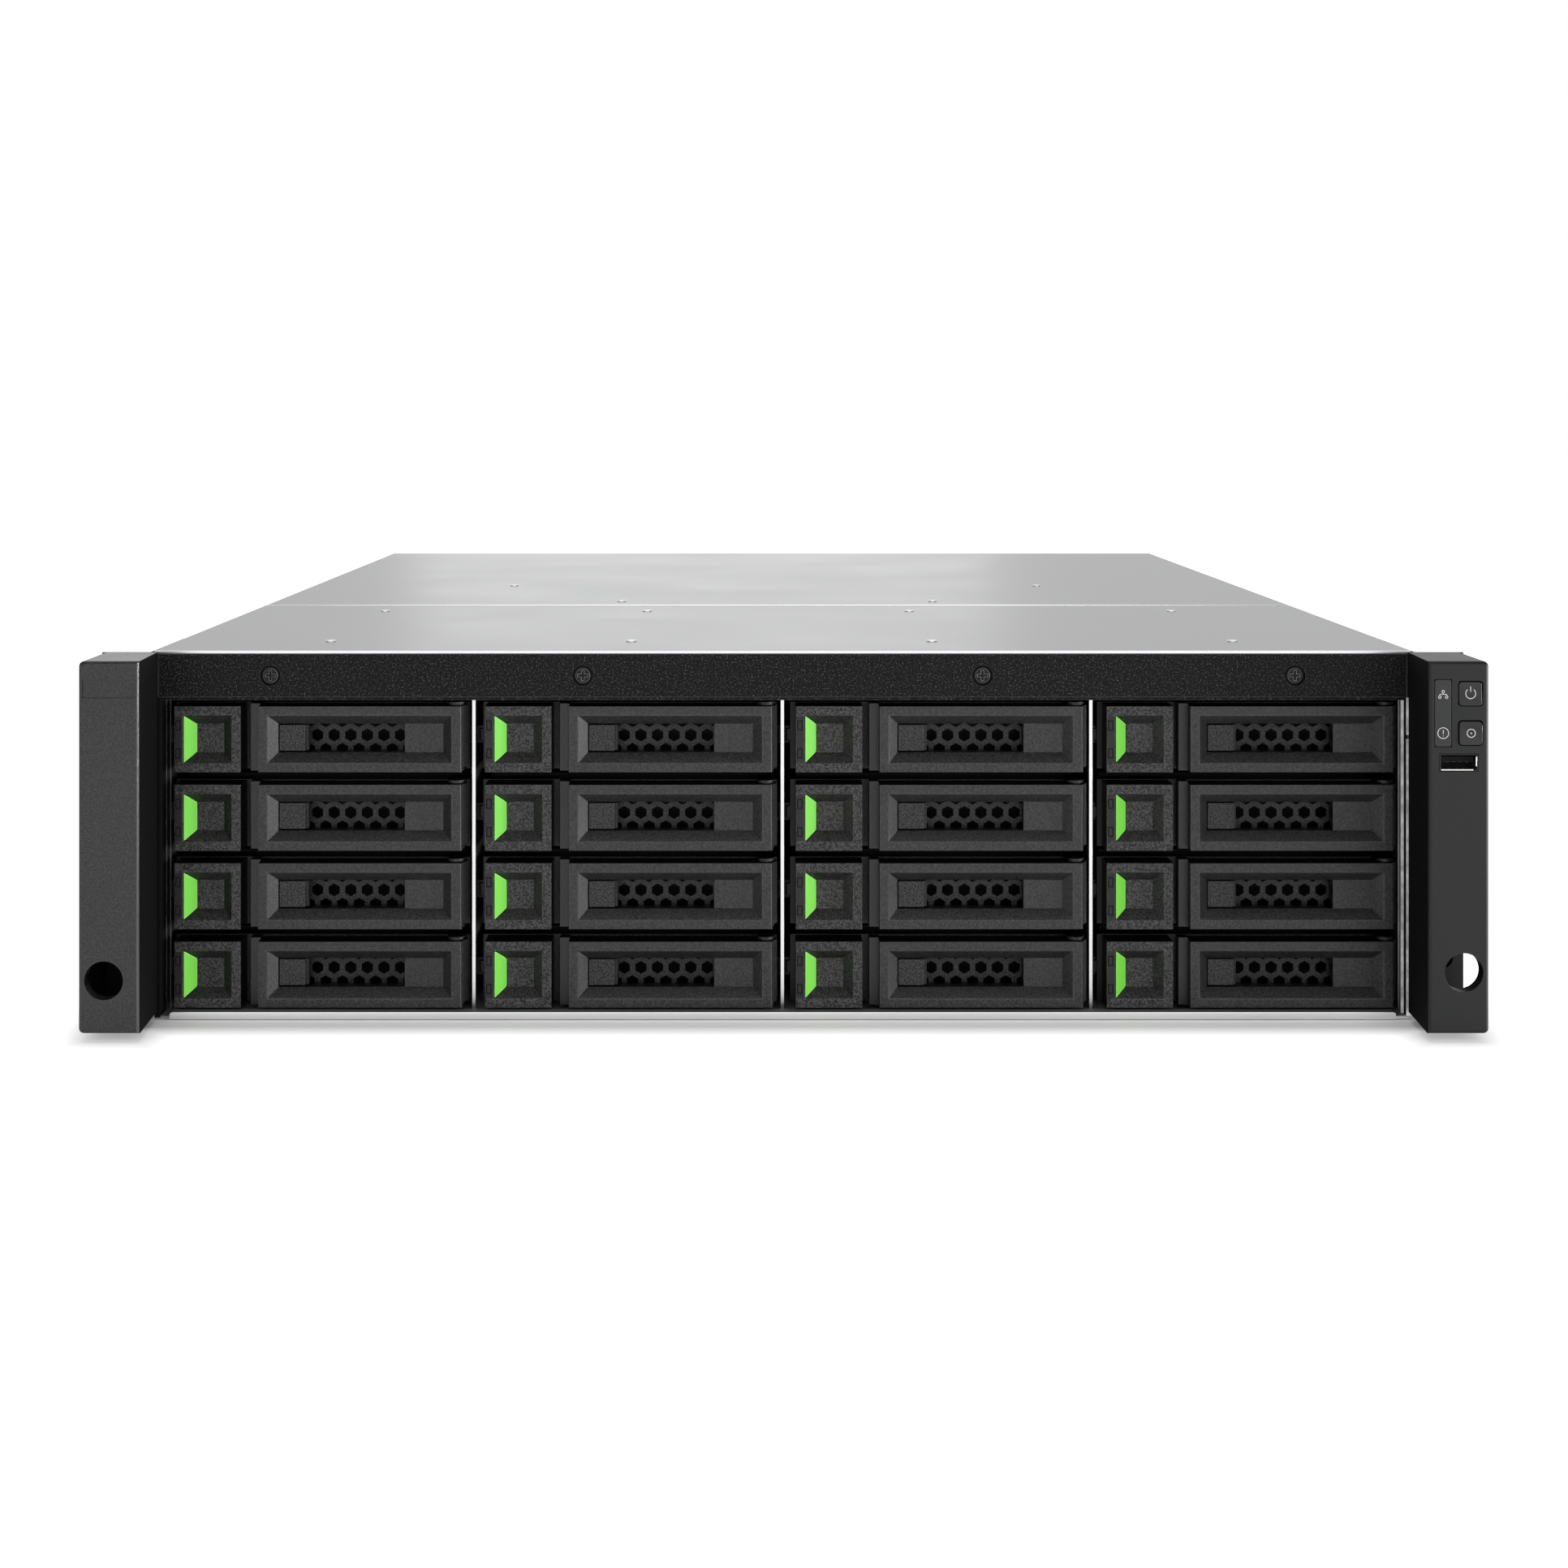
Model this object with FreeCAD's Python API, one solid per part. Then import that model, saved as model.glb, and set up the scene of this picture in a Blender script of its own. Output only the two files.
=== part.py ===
import FreeCAD, Part
import math
import os

# Rack-mount storage server, three rack units high, with drive trays across its front.
# Millimetres. +X is right seen from the front, +Y runs from the front to the back, +Z is up.
# The origin is on the underside, midway across, in the plane where the rack flanges meet the posts.

# Drives, the rails that hold them and the bays that they slide in
DISK_WIDTH = 101.6
DISK_HEIGHT = 25.4
DISK_LENGTH = 147.0
DISK_FIT = 0.15
DISK_RISE = 0.6
RAIL_THICKNESS = 1.5
RAIL_HEIGHT = 20.0
RIB_DEPTH = 1.15
RIB_HEIGHT = 4.0
RUNNER_FIT = 0.3
RUNNER_SIDE_FIT = 0.5
RUNNER_SHEET = 0.8
RUNNER_GAP = 0.7
DIVIDER_SHEET = 0.9
COLUMNS = 4
ROWS = 4
ROW_GAP = 2.55

# Sheet metal case
SHEET = 1.2
CASE_DEPTH = 507.0
ROOF_SHEET = 1.2
CAGE_SETBACK = 8.0
SILL_HEIGHT = 2.6
SILL_REACH = 0.5
SILL_DEPTH = 4.0
SILL_INSET = 5.3
SILL_ROUND = 1.0
PANEL_FIT = 0.2
COVER_SEAM = 172.0
COVER_SEAM_GAP = 0.4
COVER_LIP = 8.0
COVER_LIP_SETBACK = 16.0

# Bezel bar above the bays, and its screws
BEZEL_HEIGHT = 15.6
BEZEL_SHEET = 2.0
BEZEL_RETURN = 12.0
BEZEL_TAB_GAP = 0.5
BEZEL_SCREW_OUTER = 182.0
BEZEL_SCREW_INNER = 71.0
SCREW_SINK_RADIUS = 3.75
SCREW_SINK_DEPTH = 1.2
SCREW_HEAD_RADIUS = 2.8
SCREW_HEAD_HEIGHT = 1.0
SCREW_RADIUS = 1.5
SCREW_LENGTH = 6.0
SCREW_FIT = 0.05
CROSS_LENGTH = 3.4
CROSS_WIDTH = 0.8
CROSS_DEPTH = 0.6

# Rivets that hold the covers' inner brackets
RIVET_HEAD_RADIUS = 2.0
RIVET_HEAD_HEIGHT = 0.4
RIVET_RADIUS = 1.2
RIVET_TAIL = 1.0
RIVET_FIT = 0.05
FRONT_RIVET_ROWS = (29.0, 146.0)
REAR_RIVET_NEAR = 20.0
REAR_RIVET_FAR = 103.0
REAR_RIVET_NEAR_X = 69.0
REAR_RIVET_FAR_X = 126.0

# Drive tray: latch housing on the left, grille plate behind the handle, rails along the disk
TRAY_SETBACK = 2.0
TRAY_LEFT_GAP = 4.25
TRAY_RIGHT_GAP = 1.45
TRAY_PASS_GAP = 0.7
LATCH_WIDTH = 23.7
LATCH_HEIGHT = 23.6
LATCH_DEPTH = 18.0
LATCH_EDGE = 3.2
LATCH_SLOPE = 4.4
LATCH_SIDE_SLOPE = 3.45
LATCH_RECESS_DEPTH = 3.5
LATCH_BACK_WALL = 3.0
LAMP_WIDTH = 1.6
LAMP_HEIGHT = 3.3
LAMP_EDGE = 0.6
LAMP_OFFSET = 5.0
LAMP_DEPTH = 0.6
DISK_GAP = 1.0
GRILLE_SETBACK = 10.3
GRILLE_THICKNESS = 1.5
GRILLE_HEIGHT = 24.0
HEX_PITCH = 6.0
HEX_OPENING = 4.1
HEX_COLUMNS = 9
HEX_ROWS = 3
HEX_OFFSET = -1.0

# Release button in the latch housing
RELEASE_FIT = 0.2
RELEASE_TRAVEL = 2.0
RELEASE_STOP_GAP = 0.3

# Tray handle, its finger recess, lock slider and hinge
LATCH_GAP = 2.6
LIP_WIDTH = 3.5
LIP_SETBACK = 4.0
LIP_RISE = 0.6
HANDLE_HEIGHT = 23.6
HANDLE_THICKNESS = 8.2
HANDLE_BEVEL = 2.0
RECESS_EDGE = 3.3
RECESS_SLOPE = 3.4
RECESS_DEPTH = 3.5
PLATE_LENGTH = 13.9
SLIDER_LENGTH = 9.2
SLIDER_END_FIT = 0.3
SLIDER_SIDE_FIT = 0.5
SLIDER_THICKNESS = 3.6
SLIDER_STEP = 1.0
PIN_RADIUS = 1.25
PIN_FIT = 0.05
LUG_RADIUS = 3.0
LUG_THICKNESS = 1.0
LUG_GAP = 0.3
LUG_SKIN = 0.8

# Rack ears, the steel flanges behind them and the rack slots
EAR_REACH = 18.25
EAR_DEPTH = 28.7
EAR_BASE = 3.0
EAR_DROP = 0.6
EAR_CORNER = 1.8
EAR_ROUND = 1.4
EAR_WALL = 2.0
EAR_DRAFT = 1.6
EAR_FRONT = 5.0
EAR_HOLE_RADIUS = 6.6
LEFT_HOLE_HEIGHT = 21.2
RIGHT_HOLE_HEIGHT = 24.0
FLANGE_SHEET = 1.5
FLANGE_LEG = 45.0
SLOT_INSET = 8.74
SLOT_HEIGHT = 22.0
SLOT_WIDTH = 6.8
SLOT_LENGTH = 10.0
BADGE_EDGE = 1.5
BADGE_TOP = 6.4
BADGE_HEIGHT = 6.2
BADGE_DEPTH = 0.4

# Controls in the right ear
PANEL_FRONT = 2.5
PANEL_HEIGHT = 40.0
WINDOW_EDGE = 2.2
WINDOW_TOP = 6.2
WINDOW_WIDTH = 5.8
WINDOW_HEIGHT = 23.0
WINDOW_THICKNESS = 1.2
WINDOW_FIT = 0.1
KEY_WIDTH = 8.0
KEY_HEIGHT = 8.2
KEY_EDGE = 6.45
KEY_TOP = 11.0
KEY_PITCH = 13.45
KEY_PROUD = 0.6
KEY_FIT = 0.3
KEY_FLANGE = 1.2
KEY_FLANGE_HEIGHT = 10.6
KEY_STEM = 2.4
KEY_STEM_GAP = 1.8
USB_WIDTH = 13.1
USB_HEIGHT = 5.8
USB_TOP = 34.55
USB_SHELL = 0.4
USB_FIT = 0.15
USB_TONGUE_WIDTH = 11.0
USB_TONGUE_THICKNESS = 1.8
USB_TONGUE_DROP = 0.7
USB_TONGUE_SETBACK = 1.5
USB_LENGTH = 14.0
PANEL_BOARD_SHEET = 1.6
PANEL_BOARD_FIT = 0.3

# Backplane and the sockets that the drives plug into
SOCKET_GAP = 0.4
SOCKET_DEPTH = 7.0
SOCKET_WIDTH = 44.0
SOCKET_HEIGHT = 6.5
SOCKET_OFFSET = 10.0
SOCKET_RISE = 2.0
BACKPLANE_SHEET = 2.4
BACKPLANE_EDGE = 3.0
VENT_WIDTH = 80.0
VENT_HEIGHT = 10.0
VENT_RISE = 5.0

# Rear modules: partitions, power modules with a fan, and controllers
CONTROLLER_WIDTH = 220.0
CONTROLLER_SETBACK = 29.2
PARTITION_SHEET = 1.0
PARTITION_SETBACK = 14.0
MODULE_FIT = 0.4
MODULE_SHEET = 1.0
MODULE_LENGTH = 215.0
FAN_SIZE = 80.0
FAN_DEPTH = 25.0
FAN_EDGE = 6.0
FAN_WALL = 1.5
FAN_TIP_GAP = 1.0
FAN_HUB_RADIUS = 15.0
FAN_HUB_DEPTH = 18.0
FAN_BLADES = 7
FAN_BLADE_SHEET = 1.6
FAN_BLADE_CHORD = 21.0
FAN_BLADE_PITCH = 38.0
FAN_PIN_RADIUS = 2.0
FAN_SPOKE_WIDTH = 4.0
FAN_SPOKE_DEPTH = 3.0
FAN_RUN_GAP = 0.3
FAN_PIN_LENGTH = 16.0
GUARD_PITCH = 6.6
GUARD_OPENING = 5.4
INLET_WIDTH = 28.0
INLET_HEIGHT = 20.4
INLET_DEPTH = 18.0
INLET_EDGE = 9.0
INLET_RISE = 20.0
INLET_FLANGE = 2.0
INLET_FLANGE_SHEET = 1.5
INLET_WALL = 2.0
INLET_FLOOR = 2.0
INLET_FIT = 0.2
GRIP_EDGE = 20.0
GRIP_HEIGHT = 24.0
GRIP_POST = 8.0
GRIP_REACH = 16.0
GRIP_WIDTH = 5.0
GRIP_CAP = 4.0
GRIP_CAP_WIDTH = 11.0
CORE_MARGIN = 8.0
CORE_HEIGHT = 32.0
CORE_BACK = 24.0

# Parts of a controller
CONTROLLER_SIDE = 20.0
STANDOFF_HEIGHT = 5.0
STANDOFF_RADIUS = 3.0
STANDOFF_EDGE = 8.0
BOARD_SHEET = 1.6
BOARD_EDGE = 3.0
BOARD_FACE_GAP = 1.0
PORT_FIT = 0.2
NETWORK_PORT = (16.0, 13.5, 21.0)
NETWORK_MOUTH = (11.8, 8.2, 13.0)
NETWORK_PORT_X = (-40.0, -20.0)
FIBRE_PORT = (15.4, 10.4, 46.0)
FIBRE_MOUTH = (13.8, 8.6, 40.0)
FIBRE_PORT_X = (6.0, 26.0)
SINK_SIZE = 70.0
SINK_BASE = 4.0
SINK_FIN = 2.0
SINK_FIN_HEIGHT = 22.0
SINK_FINS = 10
SINK_SETBACK = 130.0
SLIT_WIDTH = 3.0
SLIT_HEIGHT = 16.0
SLIT_PITCH = 6.0
SLIT_COUNT = 26
SLIT_TOP = 8.0
KNOB_RADIUS = 4.5
KNOB_LENGTH = 10.0
KNOB_EDGE = 9.0
KNOB_RISE = 14.0

# Sizes of the bays, worked out from the drive outwards
rail_inner = DISK_WIDTH / 2 + DISK_FIT
rail_outer = rail_inner + RAIL_THICKNESS
rib_outer = rail_outer + RIB_DEPTH
bay_half = rib_outer + RUNNER_SIDE_FIT + RUNNER_SHEET
column_pitch = 2 * bay_half + DIVIDER_SHEET
row_pitch = DISK_HEIGHT + ROW_GAP
column_centres = [(column - (COLUMNS - 1) / 2) * column_pitch for column in range(COLUMNS)]
row_centres = [SHEET + row_pitch * (ROWS - row - 0.5) for row in range(ROWS)]
divider_centres = [(line - COLUMNS / 2) * column_pitch for line in range(COLUMNS + 1)]

# Sizes of the case
case_half = COLUMNS * column_pitch / 2 + DIVIDER_SHEET / 2 + SHEET
wall_inner = case_half - SHEET
cage_top = SHEET + ROWS * row_pitch
roof_top = cage_top + ROOF_SHEET
cover_under = roof_top + BEZEL_HEIGHT
case_height = cover_under + SHEET

# Sizes of the tray and its handle, across the bay from its middle
tray_front = TRAY_SETBACK
latch_left = -bay_half + TRAY_LEFT_GAP
latch_right = latch_left + LATCH_WIDTH
latch_back = tray_front + LATCH_DEPTH
release_left = latch_left + LATCH_EDGE
release_right = release_left + LATCH_SLOPE
latch_recess_right = latch_right - LATCH_EDGE
latch_pad_right = latch_recess_right - LATCH_SIDE_SLOPE
latch_recess_half = LATCH_HEIGHT / 2 - LATCH_EDGE
latch_pad_half = latch_recess_half - LATCH_SIDE_SLOPE
disk_front = latch_back + DISK_GAP
disk_back = disk_front + DISK_LENGTH
grille_front = tray_front + GRILLE_SETBACK
grille_back = grille_front + GRILLE_THICKNESS
lip_left = latch_right + LATCH_GAP
handle_left = lip_left + LIP_WIDTH
handle_end = bay_half - TRAY_RIGHT_GAP
handle_right = handle_end - HANDLE_BEVEL
handle_back = tray_front + HANDLE_THICKNESS
hinge_radius = HANDLE_THICKNESS / 2
hinge_x = handle_end - hinge_radius
hinge_y = tray_front + hinge_radius
handle_half = HANDLE_HEIGHT / 2
recess_left = handle_left + RECESS_EDGE
recess_right = handle_right - RECESS_EDGE
recess_half = handle_half - RECESS_EDGE
floor_left = recess_left + RECESS_SLOPE
floor_right = recess_right - RECESS_SLOPE
floor_half = recess_half - RECESS_SLOPE
floor_front = tray_front + RECESS_DEPTH
plate_left = floor_right - PLATE_LENGTH

# Sizes of the rack ears
ear_outer = case_half + EAR_REACH
ear_inner = column_centres[-1] + rib_outer + TRAY_PASS_GAP
ear_hollow = ear_inner + EAR_DRAFT + EAR_WALL
ear_top = case_height - EAR_DROP
slot_x = ear_outer - SLOT_INSET
ear_back = -FLANGE_SHEET
panel_floor = ear_top - EAR_WALL - PANEL_HEIGHT
key_x = ear_outer - KEY_EDGE
usb_x = (ear_inner + ear_outer) / 2
usb_z = ear_top - USB_TOP
panel_board_front = -EAR_DEPTH + USB_LENGTH

# Places of the backplane and the rear modules
socket_front = disk_back + SOCKET_GAP
backplane_front = socket_front + SOCKET_DEPTH
backplane_back = backplane_front + BACKPLANE_SHEET
module_bottom = SHEET + MODULE_FIT
module_top = cover_under - MODULE_FIT
module_face = CASE_DEPTH - MODULE_SHEET
partition_inner = CONTROLLER_WIDTH / 2 + MODULE_FIT
partition_outer = partition_inner + PARTITION_SHEET
partition_front = backplane_back + PARTITION_SETBACK
module_inner = partition_outer + MODULE_FIT
module_outer = wall_inner - PANEL_FIT - SHEET - MODULE_FIT
module_front = CASE_DEPTH - MODULE_LENGTH
module_middle = (module_inner + module_outer) / 2
fan_z = module_top - FAN_EDGE - FAN_SIZE / 2
fan_front = module_face - FAN_DEPTH
fan_bore = FAN_SIZE / 2 - FAN_WALL
inlet_x = module_inner + INLET_EDGE + INLET_WIDTH / 2
shelf_bottom = (module_bottom + module_top - PARTITION_SHEET) / 2
controller_front = backplane_back + CONTROLLER_SETBACK


def box(x, y, z):
    """A block between the low and high ends given for each axis."""
    corner = FreeCAD.Vector(x[0], y[0], z[0])
    return Part.makeBox(x[1] - x[0], y[1] - y[0], z[1] - z[0], corner)


def around(middle, size):
    """The low and high ends of a size centred on a place."""
    return (middle - size / 2, middle + size / 2)


def rod_y(x, z, radius, y):
    """A round bar along Y."""
    return Part.makeCylinder(radius, y[1] - y[0], FreeCAD.Vector(x, y[0], z), FreeCAD.Vector(0, 1, 0))


def rod_z(x, y, radius, z):
    """A round bar along Z."""
    return Part.makeCylinder(radius, z[1] - z[0], FreeCAD.Vector(x, y, z[0]), FreeCAD.Vector(0, 0, 1))


def prism_y(points, y):
    """A straight-sided outline of (x, z) points, drawn along Y."""
    corners = [FreeCAD.Vector(x, y[0], z) for x, z in points]
    face = Part.Face(Part.makePolygon(corners + corners[:1]))
    return face.extrude(FreeCAD.Vector(0, y[1] - y[0], 0))


def prism_z(points, z):
    """A straight-sided outline of (x, y) points, drawn along Z."""
    corners = [FreeCAD.Vector(x, y, z[0]) for x, y in points]
    face = Part.Face(Part.makePolygon(corners + corners[:1]))
    return face.extrude(FreeCAD.Vector(0, 0, z[1] - z[0]))


def funnel(outer_x, floor_x, outer_half, floor_half_height, y):
    """A sunk recess with four sloping sides, from its rim at y[0] to its floor at y[1]."""
    return Part.makeWedge(outer_x[0], y[0], -outer_half, -floor_half_height, floor_x[0],
                          outer_x[1], y[1], outer_half, floor_half_height, floor_x[1])


def hexagon(x, z, opening, y):
    """A six-sided bar along Y with a corner up, given the distance across its flats."""
    corner = opening / math.sqrt(3)
    angles = [math.radians(30 + 60 * side) for side in range(6)]
    return prism_y([(x + corner * math.cos(a), z + corner * math.sin(a)) for a in angles], y)


def joined(pieces):
    """One clean solid out of overlapping or touching pieces."""
    return pieces[0].fuse(pieces[1:]).removeSplitter()


def mirrored(shape):
    """The same piece on the other side of the middle plane."""
    return shape.mirror(FreeCAD.Vector(0, 0, 0), FreeCAD.Vector(1, 0, 0))


def at_bay(shape, row, column):
    """A piece drawn about the middle of a bay, put in one of the bays."""
    placed = shape.copy()
    placed.translate(FreeCAD.Vector(column_centres[column], 0, row_centres[row]))
    return placed


def save(name, solids):
    """Write one node: a solid, or a group of separate solids."""
    shape = solids[0] if len(solids) == 1 else Part.makeCompound(solids)
    shape.exportStep("parts/" + name + ".step")


def base_pan():
    """Floor, both side walls and the hemmed front sill, folded from one sheet."""
    floor = box((-case_half, case_half), (0, CASE_DEPTH), (0, SHEET))
    left = box((-case_half, -wall_inner), (0, CASE_DEPTH), (0, cover_under))
    sill_half = case_half - SILL_INSET
    sill = box((-sill_half, sill_half), (-SILL_REACH, SILL_DEPTH), (0, SILL_HEIGHT))
    ends = [edge for edge in sill.Edges
            if abs(edge.CenterOfMass.x) > sill_half / 2 and abs(edge.CenterOfMass.z - SILL_HEIGHT) < SHEET / 2]
    sill = sill.makeFillet(SILL_ROUND, ends)
    return joined([floor, left, mirrored(left), sill])


def cover(front, back, rivet_places):
    """A top cover: a flat sheet with a lip folded down inside each side wall."""
    lip_outer = wall_inner - PANEL_FIT
    lip_y = (front + COVER_LIP_SETBACK, back - COVER_LIP_SETBACK)
    sheet = box((-case_half, case_half), (front, back), (cover_under, case_height))
    lip = box((lip_outer - SHEET, lip_outer), lip_y, (cover_under - COVER_LIP, cover_under))
    holes = [rod_z(x, y, RIVET_RADIUS + RIVET_FIT, (cover_under, case_height)) for x, y in rivet_places]
    return joined([sheet, lip, mirrored(lip)]).cut(holes)


def front_rivets():
    """Places of the front cover's rivets, two over each column of bays."""
    return [(x, y) for x in column_centres for y in FRONT_RIVET_ROWS]


def rear_rivets():
    """Places of the rear cover's rivets."""
    near = [(side * REAR_RIVET_NEAR_X, COVER_SEAM + REAR_RIVET_NEAR) for side in (-1, 1)]
    far = [(side * REAR_RIVET_FAR_X, COVER_SEAM + REAR_RIVET_FAR) for side in (-1, 1)]
    return near + far


def rivet(x, y):
    """A flat rivet: its head on the cover and its shank through it."""
    shank = rod_z(x, y, RIVET_RADIUS, (cover_under - RIVET_TAIL, case_height))
    head = rod_z(x, y, RIVET_HEAD_RADIUS, (case_height, case_height + RIVET_HEAD_HEIGHT))
    return joined([shank, head])


def bezel_screw_places():
    """Places of the bezel bar's screws, along its middle line."""
    z = (roof_top + cover_under) / 2
    return [(x, z) for x in (-BEZEL_SCREW_OUTER, -BEZEL_SCREW_INNER, BEZEL_SCREW_INNER, BEZEL_SCREW_OUTER)]


def bezel_bar():
    """The bar across the top of the bays, with a return under the cover and sunk screw holes."""
    half = wall_inner - PANEL_FIT
    plate = box((-half, half), (0, BEZEL_SHEET), (roof_top, cover_under))
    top = box((-half, half), (0, BEZEL_RETURN), (cover_under - ROOF_SHEET, cover_under))
    sinks = [rod_y(x, z, SCREW_SINK_RADIUS, (0, SCREW_SINK_DEPTH)) for x, z in bezel_screw_places()]
    holes = [rod_y(x, z, SCREW_RADIUS + SCREW_FIT, (0, BEZEL_SHEET)) for x, z in bezel_screw_places()]
    return joined([plate, top]).cut(sinks + holes)


def bezel_screw(x, z):
    """A cross-head screw sunk in the bezel bar."""
    head_front = SCREW_SINK_DEPTH - SCREW_HEAD_HEIGHT
    head = rod_y(x, z, SCREW_HEAD_RADIUS, (head_front, SCREW_SINK_DEPTH))
    shank = rod_y(x, z, SCREW_RADIUS, (SCREW_SINK_DEPTH, SCREW_SINK_DEPTH + SCREW_LENGTH))
    slot_y = (head_front, head_front + CROSS_DEPTH)
    across = box(around(x, CROSS_LENGTH), slot_y, around(z, CROSS_WIDTH))
    upright = box(around(x, CROSS_WIDTH), slot_y, around(z, CROSS_LENGTH))
    return joined([head, shank]).cut([across, upright])


def cage_walls():
    """Upright sheets between the columns of bays and along both side walls."""
    return [box(around(x, DIVIDER_SHEET), (CAGE_SETBACK, backplane_front), (SHEET, cage_top))
            for x in divider_centres]


def cage_roof():
    """The sheet over the bays, with a tab turned up behind the bezel bar for its screws."""
    half = wall_inner - PANEL_FIT
    sheet = box((-half, half), (BEZEL_SHEET, backplane_front), (cage_top, roof_top))
    tab_top = cover_under - ROOF_SHEET - BEZEL_TAB_GAP
    tab = box((-half, half), (BEZEL_SHEET, BEZEL_SHEET + ROOF_SHEET), (cage_top, tab_top))
    holes = [rod_y(x, z, SCREW_RADIUS + SCREW_FIT, (BEZEL_SHEET, BEZEL_SHEET + ROOF_SHEET))
             for x, z in bezel_screw_places()]
    return joined([sheet, tab]).cut(holes)


def runner():
    """A channel on the right wall of a bay, in which the tray's rib slides."""
    slot_half = RIB_HEIGHT / 2 + RUNNER_FIT
    y = (grille_back + RUNNER_GAP, disk_back)
    web = box((bay_half - RUNNER_SHEET, bay_half), y, (-slot_half - RUNNER_SHEET, slot_half + RUNNER_SHEET))
    lip_x = (rail_outer + RUNNER_FIT, bay_half)
    upper = box(lip_x, y, (slot_half, slot_half + RUNNER_SHEET))
    lower = box(lip_x, y, (-slot_half - RUNNER_SHEET, -slot_half))
    return joined([web, upper, lower])


def release_outline(offset):
    """The release button seen from the front: a trapezium, grown or shrunk all round."""
    rim = latch_recess_half + offset
    floor = latch_pad_half + offset
    return [(release_left - offset, -rim), (release_right + offset, -floor),
            (release_right + offset, floor), (release_left - offset, rim)]


def release_button():
    """The sloping button that forms the left side of the latch recess, with its stem behind."""
    back = latch_back - LATCH_BACK_WALL - RELEASE_TRAVEL - RELEASE_STOP_GAP
    slope = prism_z([(release_left - RELEASE_FIT, tray_front), (release_left, tray_front),
                     (release_right, tray_front + LATCH_RECESS_DEPTH), (release_right, back),
                     (release_left - RELEASE_FIT, back)], (-LATCH_HEIGHT / 2, LATCH_HEIGHT / 2))
    return prism_y(release_outline(-RELEASE_FIT), (tray_front, back)).common(slope)


def tray_body():
    """The moulded tray: latch housing, grille plate, hinge lugs, rails and their ribs."""
    latch_half = LATCH_HEIGHT / 2
    housing = box((latch_left, latch_right), (tray_front, latch_back), (-latch_half, latch_half))
    recess = funnel((release_left, latch_recess_right), (release_right, latch_pad_right),
                    latch_recess_half, latch_pad_half, (tray_front, tray_front + LATCH_RECESS_DEPTH))
    shaft = prism_y(release_outline(0), (tray_front, latch_back - LATCH_BACK_WALL))
    lamps = [box((latch_left + LAMP_EDGE, latch_left + LAMP_EDGE + LAMP_WIDTH),
                 (tray_front, tray_front + LAMP_DEPTH), around(z, LAMP_HEIGHT))
             for z in (-LAMP_OFFSET, LAMP_OFFSET)]
    plate = box((-rail_outer, handle_end), (grille_front, grille_back), around(0, GRILLE_HEIGHT))
    lugs = [hinge_lug(z) for z in lug_heights()]
    rail = box((rail_inner, rail_outer), (grille_front, disk_back), around(0, RAIL_HEIGHT))
    rib = box((rail_outer, rib_outer), (grille_back, disk_back), around(0, RIB_HEIGHT))
    body = joined([housing, plate, rail, mirrored(rail), rib, mirrored(rib)] + lugs)
    pins = [rod_z(hinge_x, hinge_y, PIN_RADIUS + PIN_FIT, z) for z in lug_heights()]
    return body.cut([recess, shaft] + lamps + pins + grille_holes())


def lug_heights():
    """Low and high ends of the lug above the handle and of the one let into its lower edge."""
    upper = handle_half + LUG_GAP
    lower = -handle_half + LUG_GAP
    return [(upper, upper + LUG_THICKNESS), (lower, lower + LUG_THICKNESS)]


def hinge_lug(z):
    """A lug that reaches forward from its root on the grille plate, round the hinge pin."""
    arm = box((hinge_x - LUG_RADIUS, hinge_x + LUG_RADIUS), (hinge_y, grille_back), z)
    root = box((hinge_x - LUG_RADIUS, hinge_x + LUG_RADIUS), (grille_front, grille_back), (min(0, z[0]), z[1]))
    return joined([arm, root, rod_z(hinge_x, hinge_y, LUG_RADIUS, z)])


def grille_holes():
    """Honeycomb openings in the grille plate, behind the window in the handle."""
    middle = (floor_left + plate_left) / 2 + HEX_OFFSET
    row_height = HEX_PITCH * math.sqrt(3) / 2
    holes = []
    for row in range(HEX_ROWS):
        shift = HEX_PITCH / 2 if row % 2 else 0
        z = (row - (HEX_ROWS - 1) / 2) * row_height
        for column in range(HEX_COLUMNS):
            x = middle + (column - (HEX_COLUMNS - 1) / 2) * HEX_PITCH + shift
            holes.append(hexagon(x, z, HEX_OPENING, (grille_front, grille_back)))
    return holes


def disk():
    """The drive held between the tray's rails."""
    return box(around(0, DISK_WIDTH), (disk_front, disk_back), around(DISK_RISE, DISK_HEIGHT))


def handle_bar():
    """The handle's outline from above, with its bevel and its end rounded about the hinge."""
    def point(x, y):
        return FreeCAD.Vector(x, y, -handle_half)

    end = point(handle_end, hinge_y)
    turn = math.sqrt(0.5) * hinge_radius
    back = point(hinge_x, handle_back)
    lines = [(point(handle_left, tray_front), point(handle_right, tray_front)),
             (point(handle_right, tray_front), end),
             (back, point(handle_left, handle_back)),
             (point(handle_left, handle_back), point(handle_left, tray_front))]
    edges = [Part.LineSegment(start, stop).toShape() for start, stop in lines]
    edges.insert(2, Part.Arc(end, point(hinge_x + turn, hinge_y + turn), back).toShape())
    return Part.Face(Part.Wire(edges)).extrude(FreeCAD.Vector(0, 0, HANDLE_HEIGHT))


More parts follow.
